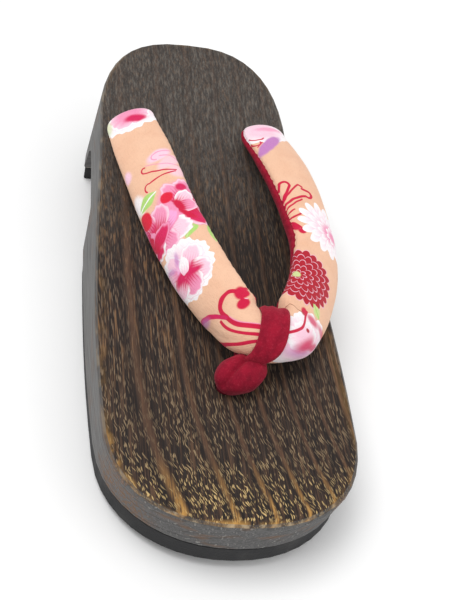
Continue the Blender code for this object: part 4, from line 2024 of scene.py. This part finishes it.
@dataclass(frozen=True)
class VelveteenFinish:
    """Napped cotton velveteen: matt, streaked by its nap, paler where it catches the light."""

    name: str = "velveteen"
    tint: Tint = dye(157, 25, 49)
    sheen: Tint = dye(214, 120, 132)
    coats: tuple[Coat, ...] = (
        Coat(dye(100, 12, 32), Trace.PATCHES, 0.45, (0.66, 0.28)),
        # Painted shade: the lower the cloth sits, the darker it is painted, fully below 26 mm and
        # not at all above 42 mm.
        Coat(dye(100, 12, 32), Trace.HEIGHT, 0.62, (0.042, 0.026)),
        Coat(dye(204, 70, 88), Trace.NAP, 0.26, (0.50, 0.78)),
        Coat(dye(100, 12, 32), Trace.PILE, 0.35, (0.45, 0.05)),
    )
    shares: tuple[tuple[Trace, float], ...] = ((Trace.NAP, 0.6), (Trace.PATCHES, 0.4))
    patch_scale: float = 300.0
    nap_scale: float = 1500.0
    pile_scale: float = 1950.0
    pile: float = 0.00030
    roughness: float = 0.92
    nap_gloss: float = 0.06

    def make(self) -> Material:
        """Return the material."""
        paint = Paint(self.name, Sheen_Weight=0.35, Sheen_Roughness=0.45,
                      Specular_IOR_Level=0.10, Sheen_Tint=(*self.sheen, 1.0))
        nap = paint.cloud(paint.place, self.nap_scale, detail=4.0)
        traces = {
            Trace.PATCHES: paint.cloud(paint.place, self.patch_scale, detail=4.0),
            Trace.HEIGHT: paint.spot()[2],
            Trace.NAP: nap,
            Trace.PILE: paint.cells(paint.place, self.pile_scale),
        }
        return paint.finish(paint.coated(self.tint, self.coats, traces),
                            self.roughness - nap * self.nap_gloss,
                            heights(traces, self.shares), self.pile)


@dataclass(frozen=True)
class RubberFinish:
    """Matt black foam rubber, cut at its edge, ribbed on its underside and dusty with wear."""

    name: str = "foam_rubber"
    tint: Tint = dye(46, 46, 47)
    coats: tuple[Coat, ...] = (
        Coat(dye(92, 90, 88), Trace.PATCHES, 0.35, (0.45, 0.80)),
        # Painted shade in the foam's pores, which the bump sinks.
        Coat(dye(28, 28, 29), Trace.PORES, 0.45, (0.40, 0.05)),
        # Painted shade in the grooves between the underside's ribs.
        Coat(dye(24, 24, 25), Trace.GROOVES, 0.7),
    )
    shares: tuple[tuple[Trace, float], ...] = (
        (Trace.PORES, 0.18), (Trace.SAWN, 0.12), (Trace.RIBS, 0.7),
    )
    saw: Grain = Grain(60.0, 60.0, 2600.0)
    pore_scale: float = 1400.0
    patch_scale: float = 70.0
    rib_pitch: float = 0.0045
    rib_span: Pair = (0.25, 0.55)
    under_span: Pair = (-0.70, -0.95)
    depth: float = 0.0006
    roughness: float = 0.86
    dust_gloss: float = 0.12

    def make(self) -> Material:
        """Return the material."""
        paint = Paint(self.name, Specular_IOR_Level=0.30)
        x, y, z = paint.spot()
        patches = paint.cloud(paint.place, self.patch_scale, detail=4.0)
        under = paint.upward().between(*self.under_span)
        turn = math.pi / self.rib_pitch
        rib, cross = (
            (way * turn).sine().size().between(*self.rib_span) for way in (x + y, x - y)
        )
        tread = rib.least(cross)
        traces = {
            Trace.PATCHES: patches,
            Trace.PORES: paint.cells(paint.place, self.pore_scale),
            Trace.SAWN: self.saw.over(paint, (x, y, z)) * (1 - under),
            Trace.RIBS: tread * under,
            # Painted shade: the grooves between the ribs on the underside.
            Trace.GROOVES: under * (1 - tread),
        }
        return paint.finish(paint.coated(self.tint, self.coats, traces),
                            self.roughness - patches * self.dust_gloss,
                            heights(traces, self.shares), self.depth)


@dataclass(frozen=True)
class WornSpot:
    """A place where handling has rubbed the scorched wood, in millimetres."""

    x: float
    y: float
    z: float
    reach: float
    heart: float = 0.35

    def mask(self, x: Number, y: Number, z: Number) -> Number:
        """Return 1 at the spot, fading to 0 at its reach.

        Args:
            x: The place across.
            y: The place along.
            z: The height.

        Returns:
            The mask.
        """
        off_x, off_y, off_z = x - self.x, y - self.y, z - self.z
        away = (off_x * off_x + off_y * off_y + off_z * off_z).root()
        return away.between(self.reach, self.reach * self.heart)


@dataclass(frozen=True)
class WoodOutline:
    """The outline of the wood's top face, in millimetres."""

    half_length: float = BASE.length / 2 * MM
    toe_half: float = 43.0
    heel_half: float = 38.8
    toe_corner: float = 43.6
    heel_corner: float = 55.0
    toe_power: float = 2.35
    heel_power: float = 2.7
    least: float = 0.0001

    def _narrowed(self, from_end: Number, corner: float, power: float) -> Number:
        """Return the share of the full width that is left near a rounded end.

        Args:
            from_end: The length from the end.
            corner: The length of its rounding.
            power: How square it is.

        Returns:
            The share.
        """
        past = (1 - from_end / corner).most(0.0).least(1.0)
        return (1 - past**power).most(self.least) ** (1 / power)

    def inside(self, x: Number, y: Number) -> Number:
        """Return how far a place is inside the outline.

        Args:
            x: The place across.
            y: The place along.

        Returns:
            The distance, 0 on the outline.
        """
        from_toe, from_heel = y + self.half_length, self.half_length - y
        share = from_toe / (2 * self.half_length)
        half = self.toe_half + (self.heel_half - self.toe_half) * share
        toe = self._narrowed(from_toe, self.toe_corner, self.toe_power)
        heel = self._narrowed(from_heel, self.heel_corner, self.heel_power)
        return (half * toe * heel - x.size()).least(self.half_length - y.size())


BROWN_LINE = dye(104, 74, 54)
GOLD = dye(198, 148, 74)
CHAR = dye(26, 18, 15)
GRAINS = (
    (Trace.SWAY, Grain(0.02, 0.009, 0.02)),
    (Trace.THIN, Grain(1.9, 0.040, 1.9, 3.0)),
    (Trace.HAIR, Grain(5.0, 0.09, 5.0)),
    (Trace.STREAK, Grain(1.2, 0.020, 1.2, 3.0)),
    (Trace.WAVE, Grain(0.22, 0.16, 0.0)),
    (Trace.PATCHES, Grain(0.12, 0.05, 0.0, 3.0)),
    (Trace.RUB, Grain(0.30, 0.14, 0.3, 4.0)),
    (Trace.WALL, Grain(0.045, 0.045, 1.3, 4.0)),
    (Trace.PITS, Grain(0.9, 0.9, 0.9, 4.0)),
    (Trace.STAIN, Grain(0.06, 0.06, 0.16, 4.0)),
)
FACE_COATS = (
    Coat(dye(66, 62, 59), Trace.FAR, 0.74),
    Coat(BROWN_LINE, Trace.THIN, 0.46, (0.40, 0.70), Trace.FAR, -0.22),
    Coat(dye(134, 101, 68), Trace.THIN, 0.16, (0.56, 0.66), Trace.WAIST, 0.50),
    Coat(dye(104, 98, 92), Trace.HAIR, 0.12, (0.46, 0.66), Trace.FAR, 0.44),
    Coat(dye(118, 112, 104), Trace.STREAK, 0.0, (0.52, 0.66), Trace.FAR, 0.42),
    Coat(dye(34, 26, 22), Trace.STREAK, 0.45, (0.48, 0.36)),
    Coat(dye(24, 16, 14), Trace.DARK, 0.60, None, Trace.FAR, -0.40),
    Coat(BROWN_LINE, Trace.LINE, 0.50, None, Trace.FAR, -0.36),
    Coat(GOLD, Trace.THIN, 0.0, (0.30, 0.60), Trace.TIP_LINE, 0.8),
)
FLECKED_COATS = (
    # Painted shade with deeper char between the arms, near the band: char colour laid over the top
    # face there.
    Coat(CHAR, Trace.HOLLOW, 0.42),
    Coat(GOLD, Trace.RIM, 0.16, None, Trace.RIM_GOLD, 1.0),
)
WALL_COATS = (
    Coat(dye(66, 64, 63), Trace.WALL, 0.6, (0.42, 0.66), Trace.END_GRAIN, -0.4),
    Coat(dye(70, 69, 69), Trace.END_GRAIN, 0.45, None, Trace.PITTED, 0.4),
    Coat(dye(48, 46, 46), Trace.ARCS, 0.14, None, Trace.END_GRAIN, 0.40),
    # Painted highlights: pale specks on the end grain at the toe.
    Coat(dye(160, 158, 154), Trace.PITS, 0.0, (0.58, 0.68), Trace.END_GRAIN, 0.55),
    Coat(dye(112, 82, 58), Trace.STAIN, 0.26, (0.53, 0.66), Trace.END_GRAIN, 0.36),
    Coat(dye(118, 84, 56), Trace.BLOTCH, 0.75),
)
EDGE_COATS = (
    Coat(dye(170, 164, 154), Trace.OVER_SOLE, 0.75, (0.45, 0.20)),
    # Pale golden-grey on the rounded top edge: partly wear, partly a painted highlight.
    Coat(dye(190, 170, 138), Trace.SCUFFED, 0.20, None, Trace.TIP, 0.40),
)


@dataclass(frozen=True)
class WoodFinish:
    """Scorched and brushed paulownia: dark, with brown ring lines and short pale flecks.

    Lengths are in millimetres. A span runs from where its mask is 0 to where it is 1.
    """

    name: str = "scorched_wood"
    outline: WoodOutline = WoodOutline()
    relief: float = 0.00040
    shares: tuple[tuple[Trace, float], ...] = (
        (Trace.LINE, 0.35), (Trace.THIN, 0.25), (Trace.STREAK, 0.15), (Trace.FLECK, 0.45),
        (Trace.HAIR, 0.10), (Trace.DARK, -0.15),
    )
    roughness: float = 0.60
    hair_rough: float = 0.14
    fawn: Tint = dye(132, 112, 92)
    straw: Tint = dye(206, 176, 120)
    wall: Tint = dye(112, 111, 110)
    far: Pair = (-15.0, 75.0)
    tip: Pair = (30.0, 1.0)
    waist: tuple[Pair, Pair] = ((45.0, 75.0), (190.0, 125.0))
    end_grain: Pair = (46.0, 8.0)
    topside: Pair = (0.55, 0.90)
    # The patch between the arms that gets painted shade with deeper char: its centre across and
    # along, then its spans.
    hollow: Pair = (12.0, -15.0)
    hollow_spans: tuple[Pair, Pair] = ((27.0, 8.0), (50.0, 18.0))
    pith: Pair = (-70.0, 130.0)
    ring_pitch: float = 5.9
    ring_phase: float = 0.36
    lean_start: float = -39.0
    lean_run: float = 74.0
    lean: float = 11.5
    lean_rest: float = 2.8
    sway: float = 6.0
    line: Pair = (0.12, 0.0)
    dark: tuple[Pair, Pair] = ((0.06, 0.12), (0.26, 0.14))
    fleck_width: float = 0.54
    fleck_length: float = 1.9
    fleck: Pair = (0.44, 0.27)
    fleck_slant: float = 0.4
    fleck_stretch: float = 110.0
    fleck_fades: tuple[tuple[Trace, float], ...] = (
        (Trace.LINE, 0.8), (Trace.FAR, 0.75), (Trace.DARK, 0.55),
    )
    fleck_patches: Pair = (0.22, 0.48)
    fleck_pale: float = 0.35
    fleck_shares: Pair = (0.56, 0.42)
    wave: float = 3.4
    wave_calm: float = 2.6
    calm: Pair = (25.0, 95.0)
    arc_turns: float = 1.7
    arc_break: float = 0.25
    arc: Pair = (0.16, 0.02)
    arc_stain: Pair = (0.36, 0.60)
    pitted: Pair = (0.4, 0.6)
    rim: Pair = (3.4, 0.3)
    rim_line: Pair = (0.34, 0.10)
    rim_rub: Pair = (0.46, 0.62)
    rim_bare: Pair = (0.36, 0.52)
    rim_shares: Pair = (0.7, 0.6)
    gold_shares: Pair = (0.50, 0.34)
    rubbed: tuple[WornSpot, ...] = (
        WornSpot(-39.0, -88.0, 27.0, 11.0),
        WornSpot(-31.0, -101.0, 27.0, 8.0),
        WornSpot(-8.0, -116.0, 27.0, 9.0),
        WornSpot(16.0, -115.0, 27.0, 7.0),
    )
    stained: WornSpot = WornSpot(-37.0, -97.0, 14.0, 19.0)
    blotch: Pair = (0.46, 0.56)
    # The rounded top edge, made paler by wear together with a painted highlight.
    brink: tuple[Pair, Pair] = ((0.20, 0.55), (0.97, 0.80))
    scuffed: Pair = (0.48, 0.66)

    def depth(self, from_toe: Number, z: Number) -> Number:
        """Return how far a place is below the top face.

        Args:
            from_toe: Its length from the toe's tip.
            z: Its height.

        Returns:
            The depth, 0 on the face.
        """
        share = from_toe / (BASE.length * MM)
        rise = (BASE.heel_height - BASE.toe_height) * MM
        dish = 4 * BASE.top_dish * MM
        return BASE.toe_height * MM + share * rise - share * (1 - share) * dish - z

    def places(self, x: Number, y: Number, traces: Traces) -> None:
        """Add the traces that follow the place on the base alone.

        Args:
            x: The place across.
            y: The place along.
            traces: What is added to.
        """
        from_toe = y + self.outline.half_length
        (rise, fall), (aside, ahead) = self.waist, self.hollow_spans
        # Painted shade with deeper char: a patch between the arms, near the band.
        hollow = (y - self.hollow[1]).size().between(*ahead)
        traces[Trace.FAR] = y.between(*self.far)
        traces[Trace.TIP] = from_toe.between(*self.tip)
        traces[Trace.TOEWARD] = ((self.lean_start - y) / self.lean_run).most(0.0).least(1.0)
        traces[Trace.WAIST] = from_toe.between(*rise) * from_toe.between(*fall)
        traces[Trace.HOLLOW] = hollow * (x - self.hollow[0]).size().between(*aside)
        traces[Trace.END_GRAIN] = from_toe.between(*self.end_grain)

    def rings(self, paint: Paint, place: tuple[Number, Number, Number], traces: Traces) -> None:
        """Add the traces that follow the growth rings.

        Args:
            paint: The material.
            place: The place on the base.
            traces: What is added to.
        """
        x, y, z = place
        from_toe = y + self.outline.half_length
        toeward = traces[Trace.TOEWARD]
        drift = toeward * toeward * self.lean - self.lean_rest
        sway = traces[Trace.SWAY] * self.sway - self.sway / 2
        off_x = x - drift + sway - self.pith[0]
        off_z = self.depth(from_toe, z) + self.pith[1]
        turns = (off_x * off_x + off_z * off_z).root() / self.ring_pitch + self.ring_phase
        off_line = (turns.fraction() - 0.5).size()
        rise, fall = self.dark
        traces[Trace.LINE] = off_line.between(*self.line)
        traces[Trace.TIP_LINE] = traces[Trace.LINE] * traces[Trace.TIP]
        traces[Trace.DARK] = off_line.between(*rise) * off_line.between(*fall)
        wave = traces[Trace.WAVE] * (self.wave - from_toe.between(*self.calm) * self.wave_calm)
        drawn_out = from_toe / (1 + from_toe.most(0.0) / self.fleck_stretch)
        dashes = paint.cells(paint.join(
            (off_x + wave) / self.fleck_width,
            (drawn_out + x * self.fleck_slant) / self.fleck_length,
            z / self.fleck_width), 1.0)
        fleck = dashes.between(*self.fleck) * traces[Trace.TOPSIDE]
        for trace, share in self.fleck_fades:
            fleck = fleck * (1 - traces[trace] * share)
        traces[Trace.FLECK] = fleck * traces[Trace.PATCHES].between(*self.fleck_patches)
        bent = turns * self.arc_turns + traces[Trace.PITS] * self.arc_break
        arcs = (bent.fraction() - 0.5).size().between(*self.arc)
        traces[Trace.ARCS] = arcs * traces[Trace.STAIN].between(*self.arc_stain)
        by_line, by_rub = self.rim_shares
        rub = traces[Trace.RUB]
        worn = off_line.between(*self.rim_line) * by_line + rub.between(*self.rim_rub) * by_rub
        worn = (worn + traces[Trace.BARE] * rub.between(*self.rim_bare)).least(1.0)
        edge = self.outline.inside(x, y).between(*self.rim)
        traces[Trace.RIM] = edge * worn * traces[Trace.TOPSIDE]

    def wear(self, paint: Paint, place: tuple[Number, Number, Number], traces: Traces) -> None:
        """Add the traces that follow rubbed, stained and cut places.

        Args:
            paint: The material.
            place: The place on the base.
            traces: What is added to.
        """
        upward = paint.upward()
        traces[Trace.TOPSIDE] = upward.between(*self.topside)
        bare = self.rubbed[0].mask(*place)
        for spot in self.rubbed[1:]:
            bare = bare.most(spot.mask(*place))
        by_tip, by_bare = self.gold_shares
        traces[Trace.BARE] = bare
        traces[Trace.RIM_GOLD] = traces[Trace.TIP] * by_tip + bare * by_bare
        traces[Trace.PITTED] = traces[Trace.PITS].between(*self.pitted)
        stained = self.stained.mask(*place)
        traces[Trace.BLOTCH] = stained * traces[Trace.PITS].between(*self.blotch)
        from_toe = place[1] + self.outline.half_length
        spring = (1 - from_toe / (BASE.toe_spring_run * MM)).most(0.0)
        foot = spring * spring * (BASE.toe_spring * MM)
        traces[Trace.OVER_SOLE] = place[2] - BASE.foot(0.0) * MM - foot
        # The rounded top edge, made pale by wear together with a painted highlight.
        rise, fall = self.brink
        brink = upward.between(*rise) * upward.between(*fall)
        traces[Trace.SCUFFED] = brink * traces[Trace.RUB].between(*self.scuffed)

    def make(self) -> Material:
        """Return the material."""
        paint = Paint(self.name, Specular_IOR_Level=0.30)
        place = tuple(value * MM for value in paint.spot())
        traces = {trace: grain.over(paint, place) for trace, grain in GRAINS}
        self.places(place[0], place[1], traces)
        self.wear(paint, place, traces)
        self.rings(paint, place, traces)
        toeward = traces[Trace.TOEWARD]
        colour = paint.coated(CHAR, FACE_COATS, traces)
        pale = traces[Trace.TIP] + toeward * self.fleck_pale
        tint = paint.blend(self.fawn, self.straw, pale)
        least, more = self.fleck_shares
        colour = paint.blend(colour, tint, traces[Trace.FLECK] * (least + toeward * more))
        colour = paint.coated(colour, FLECKED_COATS, traces)
        wall = paint.coated(self.wall, WALL_COATS, traces)
        colour = paint.blend(wall, colour, traces[Trace.TOPSIDE])
        colour = paint.coated(colour, EDGE_COATS, traces)
        rough = self.roughness + traces[Trace.HAIR] * self.hair_rough
        return paint.finish(colour, rough, heights(traces, self.shares), self.relief)


@dataclass(frozen=True)
class Studio:
    """The camera at the photograph's angle, the soft light and the pale floor."""

    place: Triple = (-0.08902, -0.31764, 0.31921)
    right: Triple = (0.99635555, -0.00499505, 0.08515085)
    above: Triple = (-0.05718838, 0.70155295, 0.71031891)
    ahead: Triple = (0.06328591, 0.71259983, -0.69871051)
    photo_focal: float = 777.8
    off_centre: Pair = (122.5, 6.5)
    focal: float = 1182.0
    picture_height: float = 600.0
    sensor: float = 36.0
    nearest: float = 0.01
    floor_half: float = 3.0
    paper: Tint = (0.97, 0.97, 0.97)
    glow: float = 0.72
    lamps: tuple[tuple[str, Triple, float, float], ...] = (
        ("key", (-0.5, -0.1, 1.5), 0.9, 11.0),
        ("fill", (1.1, -0.9, 0.9), 1.2, 3.5),
    )

    def camera(self) -> None:
        """Make the camera."""
        right, above, ahead = (Vector(way) for way in (self.right, self.above, self.ahead))
        right_by, down_by = (value / self.photo_focal for value in self.off_centre)
        aim = (ahead + right * right_by - above * down_by).normalized()
        turn = Matrix((right, above, -ahead)).transposed().to_quaternion()
        data = bpy.data.cameras.new("camera")
        data.sensor_width = self.sensor
        data.lens = self.focal / self.picture_height * self.sensor
        data.clip_start = self.nearest
        data.dof.use_dof = False
        camera = shown("camera", data)
        camera.location = self.place
        camera.rotation_mode = "QUATERNION"
        camera.rotation_quaternion = ahead.rotation_difference(aim) @ turn
        bpy.context.scene.camera = camera

    def lamp(self, name: str, place: Triple, width: float,
             power: float) -> None:
        """Add a soft square lamp that faces the sandal.

        Args:
            name: The lamp's name.
            place: Where it hangs, in metres.
            width: Its width in metres.
            power: Its power in watts.
        """
        data = bpy.data.lights.new(name, "AREA")
        data.size = width
        data.energy = power
        lamp = shown(name, data)
        lamp.location = place
        lamp.rotation_mode = "QUATERNION"
        lamp.rotation_quaternion = (-Vector(place)).to_track_quat("-Z", "Y")

    def build(self) -> None:
        """Set the whole studio up."""
        self.camera()
        for lamp in self.lamps:
            self.lamp(*lamp)
        world = bpy.data.worlds.new("studio")
        world.use_nodes = True
        glow = world.node_tree.nodes["Background"]
        glow.inputs["Color"].default_value = (1.0, 1.0, 1.0, 1.0)
        glow.inputs["Strength"].default_value = self.glow
        bpy.context.scene.world = world
        bpy.context.scene.view_settings.view_transform = "Standard"
        mesh = bpy.data.meshes.new("floor")
        corners = ((-1, -1), (1, -1), (1, 1), (-1, 1))
        mesh.from_pydata([(x * self.floor_half, y * self.floor_half, 0.0) for x, y in corners],
                         [], [(0, 1, 2, 3)])
        mesh.materials.append(Paint("floor", Base_Color=self.paper, Roughness=0.9).material)
        shown("floor", mesh)


LEFT_FOLDS = (
    Fold(109.0, -5.0, 9.0, 1.2, -0.30, 6.0),
    Fold(108.0, 2.0, 8.0, 1.1, -0.26, -4.0),
    Fold(107.0, 8.0, 9.0, 1.2, -0.28, -10.0),
    Fold(4.0, -4.0, 10.0, 1.2, -0.34, -12.0),
    Fold(5.0, 4.0, 9.0, 1.2, -0.30, 10.0),
    Fold(24.0, 3.0, 9.0, 2.4, -0.26, 62.0),
    Fold(60.0, -10.0, 9.0, 2.0, -0.28, 70.0),
    Fold(93.0, -9.0, 9.0, 1.8, -0.30, 40.0),
)
RIGHT_FOLDS = (
    Fold(109.0, -6.0, 9.0, 1.2, -0.30, 8.0),
    Fold(108.0, 1.0, 8.0, 1.1, -0.26, -4.0),
    Fold(4.0, -4.0, 10.0, 1.2, -0.34, -10.0),
    Fold(5.0, 3.5, 9.0, 1.2, -0.30, 12.0),
    Fold(30.0, 0.0, 9.0, 2.4, -0.26, 68.0),
    Fold(70.0, -7.0, 9.0, 2.0, -0.32, 74.0),
    Fold(64.0, -8.0, 7.0, 1.6, -0.26, 82.0),
)


def seat(piece: Piece, slot: Slot, *nodes: str) -> None:
    """Bind a finished piece to the frame and report it.

    Args:
        piece: The piece.
        slot: The material slot that it takes its finish from.
        nodes: The CAD nodes that it stands for.
    """
    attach(piece, ROOT)
    if nodes:
        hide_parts(*nodes)
    LOG.info("%s: %d faces, %s", piece.name, len(piece.data.polygons), slot.value)


@dataclass(frozen=True)
class Strap:
    """The two padded arms and the stitches along their inner seams."""

    arms: tuple[Arm, ...]
    stitches: Stitches = Stitches()

    def build(self, covers: dict[Side, Material], lining: Material) -> None:
        """Make the arms and their stitches.

        Args:
            covers: The printed crepe of each arm.
            lining: The velveteen underneath.
        """
        for arm in self.arms:
            piece = arm.build(covers[arm.side], lining)
            seat(piece, Slot.CREPE, *(["strap"] if arm.side is Side.LEFT else []))
            row = self.stitches.build(f"{arm.name}_stitches", arm.seam_points, lining)
            seat(row, Slot.VELVETEEN)


@dataclass(frozen=True)
class ToeLoop:
    """The band round the meeting point and its gathered end."""

    band: ToeBand = ToeBand(LOOP)
    knob: Knob = Knob()

    def build(self, velveteen: Material) -> None:
        """Make the band and the knob."""
        seat(self.band.build(velveteen), Slot.VELVETEEN, "toe_loop")
        seat(self.knob.build(velveteen), Slot.VELVETEEN)


@dataclass(frozen=True)
class Tie:
    """One cord through the base, from its knot up to the strap or the toe loop."""

    name: str
    knot: Knot
    low: float
    radius: float = 0.0036
    above: float = 0.002
    steps: int = 40

    def build(self, velveteen: Material) -> None:
        """Make the knot and the cord.

        Args:
            velveteen: Their finish.
        """
        seat(self.knot.build(velveteen), Slot.VELVETEEN, self.knot.node)
        x, y, _ = self.knot.centre
        high = BASE.top(y) + self.above
        route = [Vector((x, y, mix(self.low, high, step / self.steps)))
                 for step in range(self.steps + 1)]
        seat(Cord(self.name, self.radius).build(route, velveteen), Slot.VELVETEEN)


@dataclass(frozen=True)
class Sole:
    """The wooden base and its two treads, whose CAD shapes stay as they are."""

    wooden: tuple[str, ...] = ("wood_base",)
    soft: tuple[str, ...] = ("front_tread", "heel_tread")

    def dress(self, nodes: dict[str, Piece], wood: Material,
              rubber: Material) -> None:
        """Give the CAD parts their finishes.

        Args:
            nodes: The CAD parts, by name.
            wood: The base's finish.
            rubber: The treads' finish.
        """
        for names, material in ((self.wooden, wood), (self.soft, rubber)):
            for name in names:
                nodes[name].data.materials.clear()
                nodes[name].data.materials.append(material)
                LOG.info("%s: %s", name, material.name)


ARMS = (
    Arm(Side.LEFT, LEFT_ARM, LEFT_FOLDS, (203.0, 203.0)),
    Arm(Side.RIGHT, RIGHT_ARM, RIGHT_FOLDS, (166.0, 202.0)),
)
TIES = (
    Tie("front_cord",
        Knot("front_knot", (*BASE.front_hole, 0.0108), 0.0080, 0.0085, 0.0021), 0.0154),
    *(
        Tie(f"{side.name.lower()}_rear_cord",
            Knot(f"{side.name.lower()}_rear_knot",
                 (side.value * BASE.rear_hole[0], BASE.rear_hole[1], 0.0162),
                 0.0054, 0.0080, 0.0017), 0.0205)
        for side in Side
    ),
)


def main() -> None:
    """Build each piece in order and report it."""
    logging.basicConfig(level=logging.INFO, format="%(message)s")
    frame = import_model()
    Studio().build()
    velveteen = VelveteenFinish().make()
    Sole().dress(frame["nodes"], WoodFinish().make(), RubberFinish().make())
    covers = {
        Side.LEFT: CrepeFinish("left_crepe", LEFT_PRINT).make(),
        Side.RIGHT: CrepeFinish("right_crepe", RIGHT_PRINT).make(),
    }
    Strap(ARMS).build(covers, velveteen)
    ToeLoop().build(velveteen)
    for tie in TIES:
        tie.build(velveteen)


if __name__ == "__main__":
    main()
